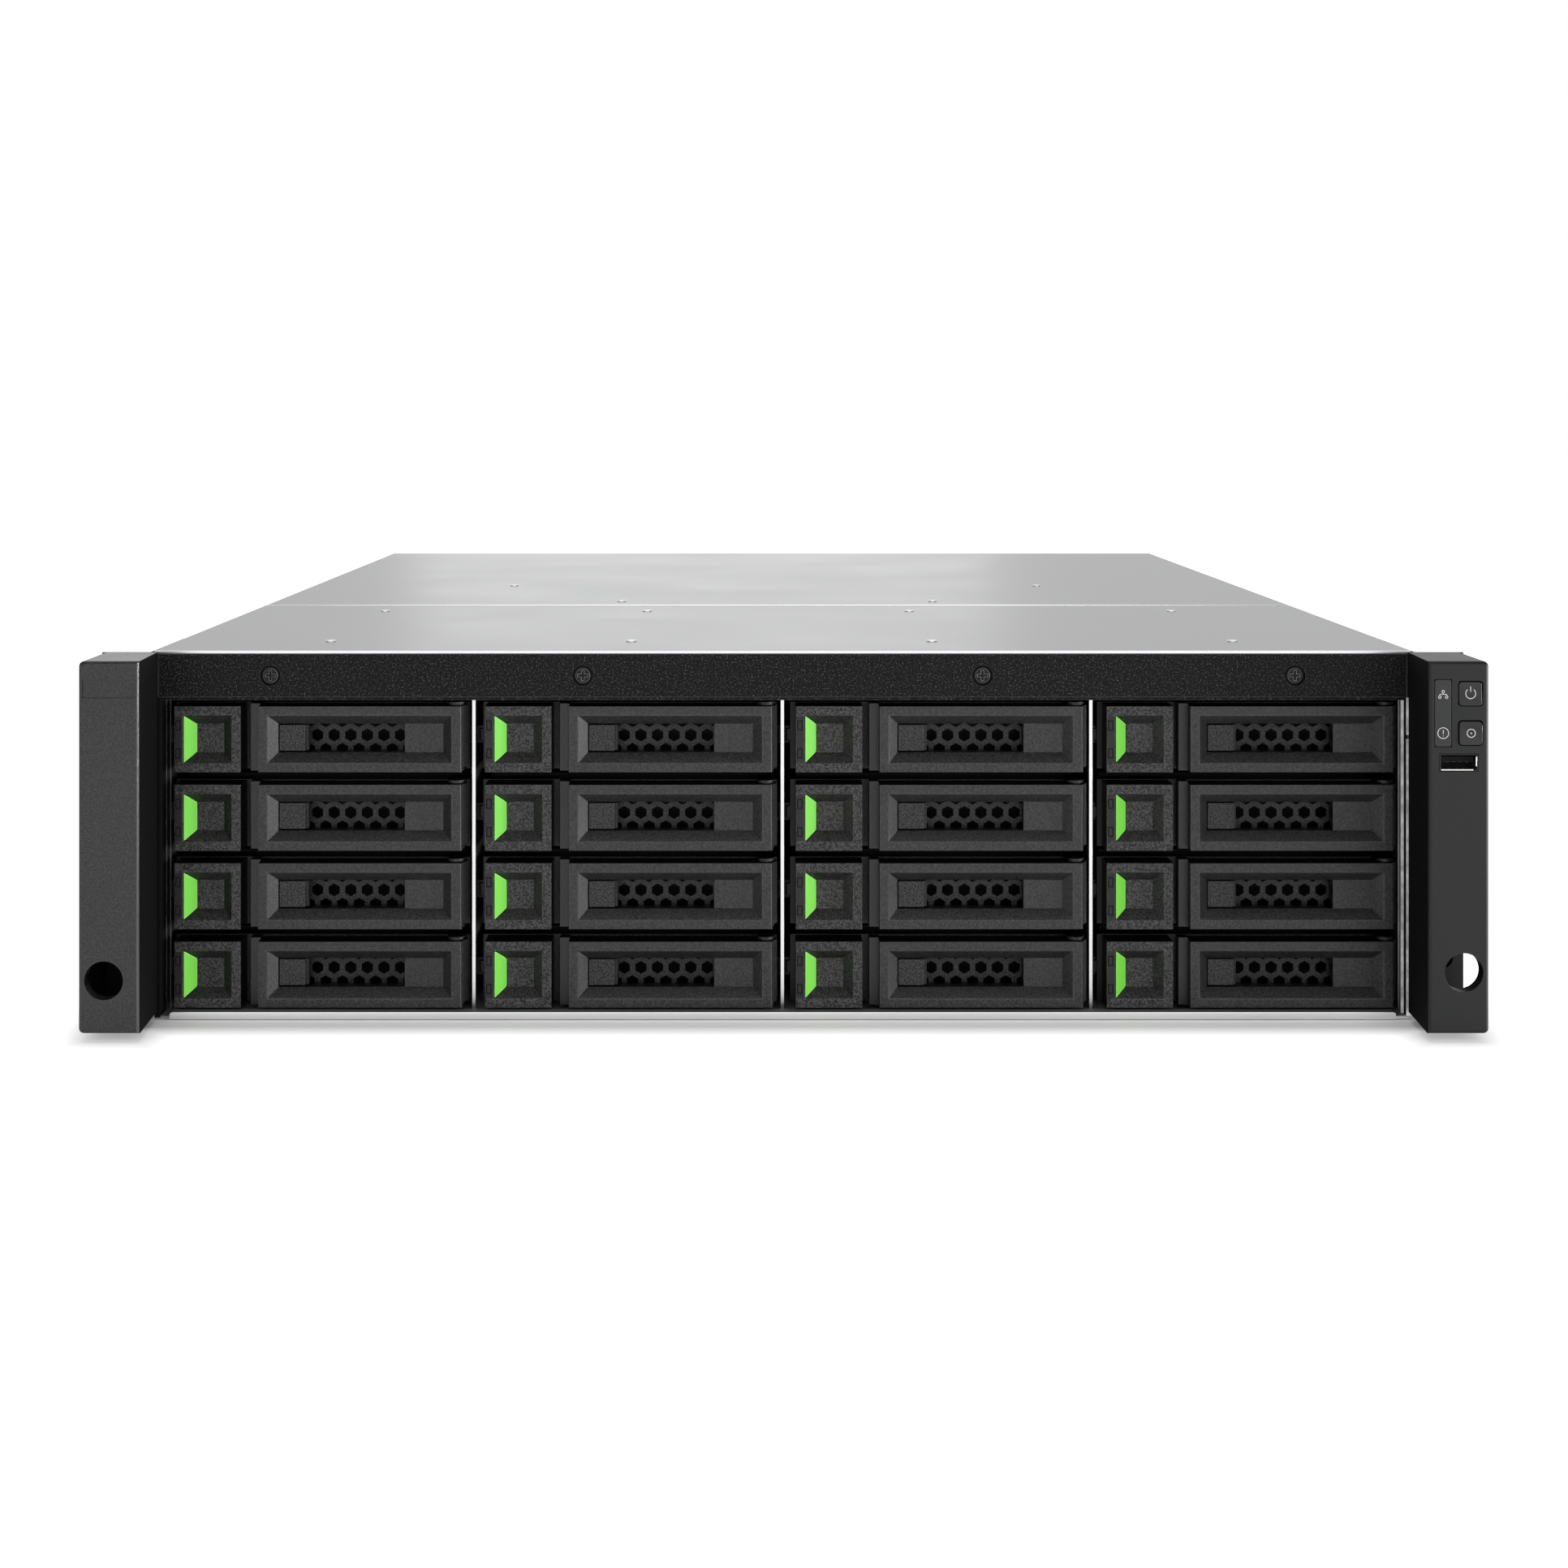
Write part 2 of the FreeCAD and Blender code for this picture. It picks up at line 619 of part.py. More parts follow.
def handle_body():
    """The handle: bar, left lip, finger recess with its window, and the two hinge pins."""
    lip = box((lip_left, handle_left), (tray_front + LIP_SETBACK, handle_back), (-handle_half, handle_half + LIP_RISE))
    recess = funnel((recess_left, recess_right), (floor_left, floor_right), recess_half, floor_half,
                    (tray_front, floor_front))
    window = box((floor_left, plate_left), (floor_front, handle_back), around(0, 2 * floor_half))
    upper, lower = lug_heights()
    notch_top = lower[1] + LUG_GAP
    notch = box((hinge_x - LUG_RADIUS - LUG_GAP, handle_end), (tray_front + LUG_SKIN, handle_back),
                (-handle_half, notch_top))
    bar = joined([handle_bar(), lip]).cut([recess, window, notch])
    pins = [rod_z(hinge_x, hinge_y, PIN_RADIUS, (handle_half - LUG_GAP, upper[1])),
            rod_z(hinge_x, hinge_y, PIN_RADIUS, (lower[0], notch_top + LUG_GAP))]
    return joined([bar] + pins)


def lock_slider():
    """The sliding lock in the left end of the handle's window, with a low step at its right end."""
    half = floor_half - SLIDER_SIDE_FIT
    left = floor_left + SLIDER_END_FIT
    right = left + SLIDER_LENGTH
    block = box((left, right), (floor_front, floor_front + SLIDER_THICKNESS), (-half, half))
    step = box((right, right + SLIDER_STEP), (floor_front + SLIDER_STEP, floor_front + SLIDER_THICKNESS),
               (-half, half))
    return joined([block, step])


def ear_block():
    """The outside of the right rack ear: its inner side drafted, its outer corners and its front's edges rounded."""
    outline = [(ear_inner, -EAR_DEPTH), (ear_outer, -EAR_DEPTH), (ear_outer, ear_back),
               (ear_inner + EAR_DRAFT, ear_back)]
    block = prism_z(outline, (EAR_BASE, ear_top))
    middle = (ear_back - EAR_DEPTH) / 2
    sides = [edge for edge in block.Edges if abs(edge.CenterOfMass.y - middle) < EAR_ROUND]
    outer = [edge for edge in sides if abs(edge.CenterOfMass.x - ear_outer) < EAR_ROUND]
    block = block.makeFillet(EAR_CORNER, outer)
    rim = [edge for edge in block.Edges if abs(edge.CenterOfMass.y + EAR_DEPTH) < EAR_ROUND / 2]
    return block.makeFillet(EAR_ROUND, rim)


def driver_hole(z):
    """The round hole in an ear's front that lets a driver reach the rack screw."""
    return rod_y(slot_x, z, EAR_HOLE_RADIUS, (-EAR_DEPTH, -EAR_DEPTH + EAR_FRONT))


def left_ear():
    """The left ear: a closed cap over its flange, with a shallow bare field at its top."""
    hollow = box((ear_hollow, ear_outer - EAR_WALL), (-EAR_DEPTH + EAR_FRONT, ear_back),
                 (EAR_BASE + EAR_WALL, ear_top - EAR_WALL))
    badge_top = ear_top - BADGE_TOP
    badge = box((ear_inner + BADGE_EDGE, ear_outer - BADGE_EDGE), (-EAR_DEPTH, -EAR_DEPTH + BADGE_DEPTH),
                (badge_top - BADGE_HEIGHT, badge_top))
    return mirrored(ear_block().cut([hollow, driver_hole(LEFT_HOLE_HEIGHT), badge]))


def key_heights():
    """Heights of the middles of the two push buttons."""
    top = ear_top - KEY_TOP
    return [top, top - KEY_PITCH]


def right_ear():
    """The right ear: a finger grip open to the side below, and the control panel's housing above."""
    grip = box((ear_hollow, ear_outer), (-EAR_DEPTH + EAR_FRONT, ear_back),
               (EAR_BASE + EAR_WALL, panel_floor - EAR_WALL))
    panel = box((ear_hollow, ear_outer - EAR_WALL), (-EAR_DEPTH + PANEL_FRONT, ear_back),
                (panel_floor, ear_top - EAR_WALL))
    front = (-EAR_DEPTH, -EAR_DEPTH + PANEL_FRONT)
    keys = [box(around(key_x, KEY_WIDTH + 2 * KEY_FIT), front, around(z, KEY_HEIGHT + 2 * KEY_FIT))
            for z in key_heights()]
    usb = box(around(usb_x, USB_WIDTH + 2 * USB_FIT), front, around(usb_z, USB_HEIGHT + 2 * USB_FIT))
    window = status_window_block(WINDOW_FIT)
    hole = driver_hole(RIGHT_HOLE_HEIGHT)
    return ear_block().cut([grip, panel, hole, usb, window] + keys)


def status_window_block(fit):
    """The indicator window's block, grown by a clearance for its seat in the ear."""
    left = ear_inner + WINDOW_EDGE
    top = ear_top - WINDOW_TOP
    return box((left - fit, left + WINDOW_WIDTH + fit), (-EAR_DEPTH, -EAR_DEPTH + WINDOW_THICKNESS),
               (top - WINDOW_HEIGHT - fit, top + fit))


def push_button(z):
    """A push button: cap through the ear's front, flange behind it and a stem towards the board."""
    flange_front = -EAR_DEPTH + PANEL_FRONT + KEY_FIT
    flange_back = flange_front + KEY_FLANGE
    cap = box(around(key_x, KEY_WIDTH), (-EAR_DEPTH - KEY_PROUD, flange_front), around(z, KEY_HEIGHT))
    flange = box(around(key_x, KEY_WIDTH), (flange_front, flange_back), around(z, KEY_FLANGE_HEIGHT))
    stem = box(around(key_x, KEY_STEM), (flange_back, panel_board_front - KEY_STEM_GAP), around(z, KEY_STEM))
    return joined([cap, flange, stem])


def usb_port():
    """The socket in the right ear: a bent metal shell and the tongue inside it."""
    y = (-EAR_DEPTH, panel_board_front)
    shell = box(around(usb_x, USB_WIDTH), y, around(usb_z, USB_HEIGHT))
    mouth = box(around(usb_x, USB_WIDTH - 2 * USB_SHELL), (y[0], y[1] - USB_SHELL),
                around(usb_z, USB_HEIGHT - 2 * USB_SHELL))
    tongue_top = usb_z + USB_HEIGHT / 2 - USB_SHELL - USB_TONGUE_DROP
    tongue = box(around(usb_x, USB_TONGUE_WIDTH), (y[0] + USB_TONGUE_SETBACK, y[1] - USB_SHELL),
                 (tongue_top - USB_TONGUE_THICKNESS, tongue_top))
    return [shell.cut(mouth), tongue]


def panel_board():
    """The small board behind the buttons, held between the walls of the ear."""
    gap = EAR_WALL + PANEL_BOARD_FIT
    return box((ear_hollow + PANEL_BOARD_FIT, ear_outer - gap),
               (panel_board_front, panel_board_front + PANEL_BOARD_SHEET),
               (panel_floor + PANEL_BOARD_FIT, ear_top - gap))


def rack_flange():
    """The right steel flange: a slotted plate behind the ear and a leg along the case's side."""
    plate = box((case_half, ear_outer), (-FLANGE_SHEET, 0), (EAR_BASE, ear_top))
    leg = box((case_half, case_half + FLANGE_SHEET), (-FLANGE_SHEET, FLANGE_LEG), (EAR_BASE, ear_top))
    straight = SLOT_LENGTH - SLOT_WIDTH
    slot = [box(around(slot_x, straight), (-FLANGE_SHEET, 0), around(SLOT_HEIGHT, SLOT_WIDTH))]
    slot += [rod_y(x, SLOT_HEIGHT, SLOT_WIDTH / 2, (-FLANGE_SHEET, 0)) for x in around(slot_x, straight)]
    return joined([plate, leg]).cut(slot)


def backplane_board():
    """The upright board behind the bays, with an air opening above each drive socket."""
    half = wall_inner - BACKPLANE_EDGE
    board = box((-half, half), (backplane_front, backplane_back), (SHEET, cage_top))
    vent = box(around(0, VENT_WIDTH), (backplane_front, backplane_back), around(VENT_RISE, VENT_HEIGHT))
    return board.cut([at_bay(vent, row, column) for row in range(ROWS) for column in range(COLUMNS)])


def drive_socket():
    """The socket that a drive's edge connector meets."""
    bottom = DISK_RISE - DISK_HEIGHT / 2 + SOCKET_RISE
    return box(around(SOCKET_OFFSET, SOCKET_WIDTH), (socket_front, backplane_front),
               (bottom, bottom + SOCKET_HEIGHT))


def rear_partitions():
    """Upright sheets beside the controllers and the shelf between them."""
    wall = box((partition_inner, partition_outer), (partition_front, CASE_DEPTH), (SHEET, cover_under))
    shelf = box((-partition_inner, partition_inner), (partition_front, module_face),
                (shelf_bottom, shelf_bottom + PARTITION_SHEET))
    return [wall, mirrored(wall), shelf]


def fan_guard_holes():
    """Honeycomb openings in a power module's face, over the round of its fan."""
    row_height = GUARD_PITCH * math.sqrt(3) / 2
    reach = fan_bore - GUARD_OPENING / 2
    rows = int(reach // row_height)
    columns = int(reach // GUARD_PITCH) + 1
    holes = []
    for row in range(-rows, rows + 1):
        shift = GUARD_PITCH / 2 if row % 2 else 0
        for column in range(-columns, columns + 1):
            x = column * GUARD_PITCH + shift
            z = row * row_height
            if math.hypot(x, z) <= reach:
                holes.append(hexagon(module_middle + x, fan_z + z, GUARD_OPENING, (module_face, CASE_DEPTH)))
    return holes


def module_case():
    """A power module's sheet case, open towards the backplane, with its pierced rear face."""
    outside = box((module_inner, module_outer), (module_front, CASE_DEPTH), (module_bottom, module_top))
    hollow = box((module_inner + MODULE_SHEET, module_outer - MODULE_SHEET), (module_front, module_face),
                 (module_bottom + MODULE_SHEET, module_top - MODULE_SHEET))
    cutout = box(around(inlet_x, INLET_WIDTH + 2 * INLET_FIT), (module_face, CASE_DEPTH),
                 around(INLET_RISE, INLET_HEIGHT + 2 * INLET_FIT))
    return outside.cut([hollow, cutout] + fan_guard_holes())


def mains_inlet():
    """The mains inlet: a flanged block with a deep recess for the plug."""
    block = box(around(inlet_x, INLET_WIDTH), (CASE_DEPTH - INLET_DEPTH, CASE_DEPTH),
                around(INLET_RISE, INLET_HEIGHT))
    flange = box(around(inlet_x, INLET_WIDTH + 2 * INLET_FLANGE), (CASE_DEPTH, CASE_DEPTH + INLET_FLANGE_SHEET),
                 around(INLET_RISE, INLET_HEIGHT + 2 * INLET_FLANGE))
    mouth = box(around(inlet_x, INLET_WIDTH - 2 * INLET_WALL),
                (CASE_DEPTH - INLET_DEPTH + INLET_FLOOR, CASE_DEPTH + INLET_FLANGE_SHEET),
                around(INLET_RISE, INLET_HEIGHT - 2 * INLET_WALL))
    return joined([block, flange]).cut(mouth)


def module_grip():
    """The upright tab by which a power module is pulled out."""
    x = module_outer - GRIP_EDGE
    post = box(around(x, GRIP_WIDTH), (CASE_DEPTH, CASE_DEPTH + GRIP_REACH), around(INLET_RISE, GRIP_POST))
    cap = box(around(x, GRIP_CAP_WIDTH), (CASE_DEPTH + GRIP_REACH - GRIP_CAP, CASE_DEPTH + GRIP_REACH),
              around(INLET_RISE, GRIP_HEIGHT))
    return joined([post, cap])


def fan_frame():
    """The fan's square frame with a round bore, and the spokes and pin that carry its rotor."""
    frame = box(around(module_middle, FAN_SIZE), (fan_front, module_face), around(fan_z, FAN_SIZE))
    bore = rod_y(module_middle, fan_z, fan_bore, (fan_front, module_face))
    spoke_y = (fan_front, fan_front + FAN_SPOKE_DEPTH)
    across = box(around(module_middle, FAN_SIZE - FAN_WALL), spoke_y, around(fan_z, FAN_SPOKE_WIDTH))
    upright = box(around(module_middle, FAN_SPOKE_WIDTH), spoke_y, around(fan_z, FAN_SIZE - FAN_WALL))
    boss = rod_y(module_middle, fan_z, FAN_HUB_RADIUS, spoke_y)
    pin = rod_y(module_middle, fan_z, FAN_PIN_RADIUS, (spoke_y[1], spoke_y[1] + FAN_PIN_LENGTH))
    return joined([frame.cut(bore), across, upright, boss, pin])


def module_core():
    """The converter block on the floor of a power module."""
    return box((module_inner + CORE_MARGIN, module_outer - CORE_MARGIN),
               (module_front + CORE_MARGIN, CASE_DEPTH - CORE_BACK),
               (module_bottom + MODULE_SHEET, module_bottom + MODULE_SHEET + CORE_HEIGHT))


def fan_rotor():
    """The fan's hub and its slanted blades, with a bore for the pin."""
    start = fan_front + FAN_SPOKE_DEPTH + FAN_RUN_GAP
    y = (start, start + FAN_HUB_DEPTH)
    axis = FreeCAD.Vector(module_middle, (y[0] + y[1]) / 2, fan_z)
    blade_inner = FAN_HUB_RADIUS - FAN_BLADE_SHEET
    blade_outer = fan_bore - FAN_TIP_GAP
    blade = box((blade_inner, blade_outer), around(0, FAN_BLADE_CHORD), around(0, FAN_BLADE_SHEET))
    blade.rotate(FreeCAD.Vector(0, 0, 0), FreeCAD.Vector(1, 0, 0), FAN_BLADE_PITCH)
    ring = rod_y(0, 0, blade_outer, around(0, FAN_HUB_DEPTH))
    pieces = [rod_y(module_middle, fan_z, FAN_HUB_RADIUS, y)]
    for number in range(FAN_BLADES):
        turned = blade.common(ring)
        turned.rotate(FreeCAD.Vector(0, 0, 0), FreeCAD.Vector(0, 1, 0), number * 360 / FAN_BLADES)
        turned.translate(axis)
        pieces.append(turned)
    bore = rod_y(module_middle, fan_z, FAN_PIN_RADIUS + PIN_FIT, y)
    return joined(pieces).cut(bore)


def port_block(x, bottom, size, fit):
    """The outside of a port's shell, flush with the rear face and standing on the board."""
    width, height, length = size
    return box((x - width / 2 - fit, x + width / 2 + fit), (CASE_DEPTH - length, CASE_DEPTH),
               (bottom - fit, bottom + height + fit))


def port_shell(x, bottom, size, mouth):
    """A port's metal shell with its mouth open to the rear."""
    width, height, length = mouth
    hollow = box(around(x, width), (CASE_DEPTH - length, CASE_DEPTH), around(bottom + size[1] / 2, height))
    return port_block(x, bottom, size, 0).cut(hollow)


def ports():
    """Place, shell size and mouth size of each port of a controller."""
    network = [(x, NETWORK_PORT, NETWORK_MOUTH) for x in NETWORK_PORT_X]
    fibre = [(x, FIBRE_PORT, FIBRE_MOUTH) for x in FIBRE_PORT_X]
    return network + fibre


def controller(bottom):
    """A controller: folded tray, board on standoffs, heat sink, ports and captive thumbscrews."""
    half = CONTROLLER_WIDTH / 2
    top = bottom + shelf_bottom - MODULE_FIT - module_bottom
    board_bottom = bottom + MODULE_SHEET + STANDOFF_HEIGHT
    board_top = board_bottom + BOARD_SHEET
    floor = box((-half, half), (controller_front, CASE_DEPTH), (bottom, bottom + MODULE_SHEET))
    face = box((-half, half), (module_face, CASE_DEPTH), (bottom, top))
    side = box((half - MODULE_SHEET, half), (controller_front, CASE_DEPTH), (bottom, bottom + CONTROLLER_SIDE))
    cutouts = [port_block(x, board_top, size, PORT_FIT) for x, size, mouth in ports()]
    slits = [box(around((number - (SLIT_COUNT - 1) / 2) * SLIT_PITCH, SLIT_WIDTH), (module_face, CASE_DEPTH),
                 (top - SLIT_TOP - SLIT_HEIGHT, top - SLIT_TOP)) for number in range(SLIT_COUNT)]
    tray = joined([floor, face, side, mirrored(side)]).cut(cutouts + slits)
    board_half = half - BOARD_EDGE
    board_y = (controller_front + BOARD_EDGE, module_face - BOARD_FACE_GAP)
    board = box((-board_half, board_half), board_y, (board_bottom, board_top))
    posts = [rod_z(side * (board_half - STANDOFF_EDGE), y, STANDOFF_RADIUS, (bottom + MODULE_SHEET, board_bottom))
             for side in (-1, 1) for y in (board_y[0] + STANDOFF_EDGE, board_y[1] - STANDOFF_EDGE)]
    shells = [port_shell(x, board_top, size, mouth) for x, size, mouth in ports()]
    knobs = [rod_y(side * (half - KNOB_EDGE), bottom + KNOB_RISE, KNOB_RADIUS, (CASE_DEPTH, CASE_DEPTH + KNOB_LENGTH))
             for side in (-1, 1)]
    return [tray, board, heat_sink(board_top)] + posts + shells + knobs


def heat_sink(bottom):
    """A finned heat sink on a controller's board."""
    y = around(CASE_DEPTH - SINK_SETBACK, SINK_SIZE)
    base = box(around(0, SINK_SIZE), y, (bottom, bottom + SINK_BASE))
    pitch = (SINK_SIZE - SINK_FIN) / (SINK_FINS - 1)
    fins = [box(around((number - (SINK_FINS - 1) / 2) * pitch, SINK_FIN), y,
                (bottom + SINK_BASE, bottom + SINK_BASE + SINK_FIN_HEIGHT)) for number in range(SINK_FINS)]
    return joined([base] + fins)


def build_case():
    """The fixed case: sheet metal, cage, bezel and fasteners."""
    save("base_pan", [base_pan()])
    save("front_top_cover", [cover(0, COVER_SEAM, front_rivets())])
    save("rear_top_cover", [cover(COVER_SEAM + COVER_SEAM_GAP, CASE_DEPTH, rear_rivets())])
    save("cover_rivets", [rivet(x, y) for x, y in front_rivets() + rear_rivets()])
    save("bezel_bar", [bezel_bar()])
    save("bezel_screws", [bezel_screw(x, z) for x, z in bezel_screw_places()])
    save("partition_walls", cage_walls() + [cage_roof()] + rear_partitions())
    right = runner()
    left = mirrored(right)
    save("bay_runners", [at_bay(side, row, column)
                         for row in range(ROWS) for column in range(COLUMNS) for side in (left, right)])


def build_ears():
    """Both rack ears with their flanges, and the controls in the right one."""
    flange = rack_flange()
    save("rack_flanges", [mirrored(flange), flange])
    save("left_ear", [left_ear()])
    save("right_ear", [right_ear()])
    power_z, locator_z = key_heights()
    save("power_button", [push_button(power_z)])
    save("locator_button", [push_button(locator_z)])
    save("status_window", [status_window_block(0)])
    save("usb_port", usb_port())
    save("panel_board", [panel_board()])


def build_trays():
    """The drive trays, numbered along each row from the top left, with handles and release buttons."""
    body = tray_body()
    drive = disk()
    bar = handle_body()
    slider = lock_slider()
    button = release_button()
    for row in range(ROWS):
        for column in range(COLUMNS):
            number = "{:02d}".format(row * COLUMNS + column + 1)
            tray = [at_bay(body, row, column), at_bay(drive, row, column)]
            if row == 0:
                save("release_button_" + number, [at_bay(button, row, column)])
            else:
                tray.append(at_bay(button, row, column))
            save("drive_tray_" + number, tray)
            save("tray_handle_" + number, [at_bay(bar, row, column), at_bay(slider, row, column)])


def build_rear():
    """The backplane with its sockets, and the modules that slide in from the rear."""
    save("backplane_board", [backplane_board()])
    socket = drive_socket()
    save("drive_sockets", [at_bay(socket, row, column) for row in range(ROWS) for column in range(COLUMNS)])
    module = [module_case(), mains_inlet(), module_grip(), fan_frame(), module_core()]
    rotor = fan_rotor()
    save("power_module_right", module)
    save("power_module_left", [mirrored(piece) for piece in module])
    save("fan_rotor_right", [rotor])
    save("fan_rotor_left", [mirrored(rotor)])
    save("controller_lower", controller(module_bottom))
    save("controller_upper", controller(shelf_bottom + PARTITION_SHEET + MODULE_FIT))


if __name__ == "__main__":
    os.makedirs("parts", exist_ok=True)
    build_case()
    build_ears()
    build_trays()
    build_rear()
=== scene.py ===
"""A rack-mount storage server with sixteen drive bays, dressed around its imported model, in metres."""

import math

import bmesh
import bpy
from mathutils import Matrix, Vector


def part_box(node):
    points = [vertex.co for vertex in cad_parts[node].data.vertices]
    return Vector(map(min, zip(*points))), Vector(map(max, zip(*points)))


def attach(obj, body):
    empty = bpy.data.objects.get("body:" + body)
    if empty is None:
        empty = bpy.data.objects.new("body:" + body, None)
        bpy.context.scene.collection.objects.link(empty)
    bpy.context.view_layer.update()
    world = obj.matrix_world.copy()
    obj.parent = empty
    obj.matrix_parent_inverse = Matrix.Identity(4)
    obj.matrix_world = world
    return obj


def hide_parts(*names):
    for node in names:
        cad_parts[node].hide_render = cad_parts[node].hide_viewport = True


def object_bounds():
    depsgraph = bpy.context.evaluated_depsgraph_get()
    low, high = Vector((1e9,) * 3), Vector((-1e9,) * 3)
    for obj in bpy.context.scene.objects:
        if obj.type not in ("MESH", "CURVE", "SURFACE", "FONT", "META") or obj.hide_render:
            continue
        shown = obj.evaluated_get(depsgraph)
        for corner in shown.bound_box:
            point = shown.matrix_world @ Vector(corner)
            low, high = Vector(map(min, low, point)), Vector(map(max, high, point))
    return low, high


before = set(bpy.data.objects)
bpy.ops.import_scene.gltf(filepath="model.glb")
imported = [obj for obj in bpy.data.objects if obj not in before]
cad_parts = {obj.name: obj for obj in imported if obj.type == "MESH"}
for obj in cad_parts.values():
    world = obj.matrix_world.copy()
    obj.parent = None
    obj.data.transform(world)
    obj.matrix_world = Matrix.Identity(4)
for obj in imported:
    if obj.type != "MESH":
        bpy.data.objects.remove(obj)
cad_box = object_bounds()

# Case: a base pan and two covers folded from zinc-plated sheet steel a little over a millimetre thick.
# The covers' skirts lap inside the pan's walls. Faces are satin; rounded edges and forward faces are painted
# bright, partly bare cut steel and partly painted highlight, and the left wall's front is left dark as
# painted shade.
CASE_EDGE = 0.00022
LONG_EDGE = 0.01
HEM_DEPTH = 0.0042
HEM_TOP = 0.003
FORWARD_FACE = -0.9
MERGED = 1e-6
FLAT = math.radians(1)
TURNED = math.radians(25)
CREASED = math.radians(30)
LEFT_WALL_IN_SHADE = -0.2
CLOUDED = 1.12
CUT_ROUGH = 0.26


class Flow:
    """An output in a finish's node tree. Sums on it add Math nodes, and add() makes any other node."""

    def __init__(self, tree, socket=None):
        self.tree = tree
        self.socket = socket

    def add(self, kind, settings=None, sockets=None, out=0):
        """A new node: its settings come first, then the values or links of its sockets."""
        node = self.tree.nodes.new("ShaderNode" + kind)
        for key, value in (settings or {}).items():
            setattr(node, key, value)
        for key, value in (sockets or {}).items():
            if isinstance(value, Flow):
                self.tree.links.new(value.socket, node.inputs[key])
            else:
                node.inputs[key].default_value = value
        return Flow(self.tree, node.outputs[out])

    def sum(self, operation, first, second):
        """A Math node on two values."""
        return self.add("Math", {"operation": operation}, {0: first, 1: second})

    def __add__(self, other):
        return self.sum("ADD", self, other)

    def __radd__(self, other):
        return self.sum("ADD", other, self)

    def __sub__(self, other):
        return self.sum("SUBTRACT", self, other)

    def __rsub__(self, other):
        return self.sum("SUBTRACT", other, self)

    def __mul__(self, other):
        return self.sum("MULTIPLY", self, other)

    def __rmul__(self, other):
        return self.sum("MULTIPLY", other, self)

    def noise(self, place, scale, detail=2.0, rough=0.5):
        """Soft random grain, mostly between 0.3 and 0.7."""
        return self.add("TexNoise", {}, {"Vector": place, "Scale": scale, "Detail": detail,
                                         "Roughness": rough})

    def spread(self, value, low, high, start=0.0, end=1.0):
        """A value between low and high, spread from start to end."""
        return self.add("MapRange", {}, {"Value": value, "From Min": low, "From Max": high,
                                         "To Min": start, "To Max": end})

    def grade(self, grain, start=0.0, end=1.0):
        """A noise's usual range, spread from start to end."""
        return self.spread(grain, 0.3, 0.7, start, end)

    def mix(self, share, first, second):
        """The first colour turning into the second as the share grows."""
        return self.add("Mix", {"data_type": "RGBA"}, {0: share, 6: first, 7: second}, out=2)

    def wear_and_painted_light(self):
        """One on the rounded or cut edges that a mesh has marked, and nought elsewhere: finishes turn it into
        wear, bare metal, painted highlight and, on lens frames and socket rims, painted shade.
        """
        return self.add("Attribute", {"attribute_name": "wear_and_painted_light"}, out="Fac")

    def painted_shade(self):
        """Painted shade: one on the faces that a mesh has marked as lying in shade, and nought elsewhere."""
        return self.add("Attribute", {"attribute_name": "painted_shade"}, out="Fac")

    def bump(self, height, strength, depth):
        """A surface raised by a height."""
        return self.add("Bump", {}, {"Strength": strength, "Distance": depth, "Height": height})


def finish(name, paint, gloss=0.5, metal=0.0, others=None):
    """A material: paint gives what changes over a surface, and the rest goes on the shader's sockets."""
    material = bpy.data.materials.new(name)
    material.use_nodes = True
    tree = material.node_tree
    shader = tree.nodes["Principled BSDF"]
    constants = {"Specular IOR Level": gloss, "Metallic": metal, **(others or {})}
    for socket, value in constants.items():
        shader.inputs[socket].default_value = value
    flow = Flow(tree)
    place = flow.add("TexCoord", out="Object")
    for socket, value in paint(flow, place).items():
        tree.links.new(value.socket, shader.inputs[socket])
    return material


def copy_of(node):
    """A merged copy of a node's mesh, with each flat face whole."""
    mesh = bmesh.new()
    mesh.from_mesh(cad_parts[node].data)
    bmesh.ops.remove_doubles(mesh, verts=mesh.verts, dist=MERGED)
    bmesh.ops.dissolve_limit(mesh, angle_limit=FLAT, verts=mesh.verts, edges=mesh.edges)
    return mesh


def corners(mesh, keep=lambda end: True, shortest=0.0):
    """The outside edges of a mesh, where faces turn, that are long enough and pass a test at both ends."""
    return [edge for edge in mesh.edges
            if len(edge.link_faces) == 2 and edge.is_convex and edge.calc_face_angle() > TURNED
            and edge.calc_length() >= shortest and all(keep(end.co) for end in edge.verts)]


def marks(mesh, kind="wear_and_painted_light"):
    """The layer that marks a mesh's faces for the edge colour, or for painted shade."""
    return mesh.faces.layers.float.get(kind) or mesh.faces.layers.float.new(kind)


def mark(mesh, share, chosen=lambda at, way: True, kind="wear_and_painted_light"):
    """Marks the faces whose middle and normal pass a test, to a share."""
    layer = marks(mesh, kind)
    for face in mesh.faces:
        if chosen(face.calc_center_median(), face.normal):
            face[layer] = share


def mark_cut_and_lit_faces(mesh, start=-1.0):
    """Marks the faces that look forward for the bright edge colour, from a place across the case on: partly
    cut edges, partly painted highlight.
    """
    mark(mesh, 1.0, lambda at, way: way.y < FORWARD_FACE and at.x > start)


def bevelled(mesh, edges, width, steps=1, clamped=False):
    """Bevels edges in steps, which may be held clear of each other, and gives the new faces."""
    made = bmesh.ops.bevel(mesh, geom=edges, offset=width, offset_type="OFFSET", affect="EDGES",
                           segments=steps, profile=0.5, material=-1, clamp_overlap=clamped)
    return made["faces"]


def rounded(mesh, edges, width, steps=2):
    """Rounds edges and marks the rounding for the edge colour: wear and painted highlight."""
    layer = marks(mesh)
    for face in bevelled(mesh, edges, width, steps, clamped=True):
        face[layer] = 1.0


def softened(mesh, width, keep=lambda end: True, shortest=0.0, steps=2):
    """Rounds those of a mesh's corners that are long enough and pass a test."""
    rounded(mesh, corners(mesh, keep, shortest), width, steps)


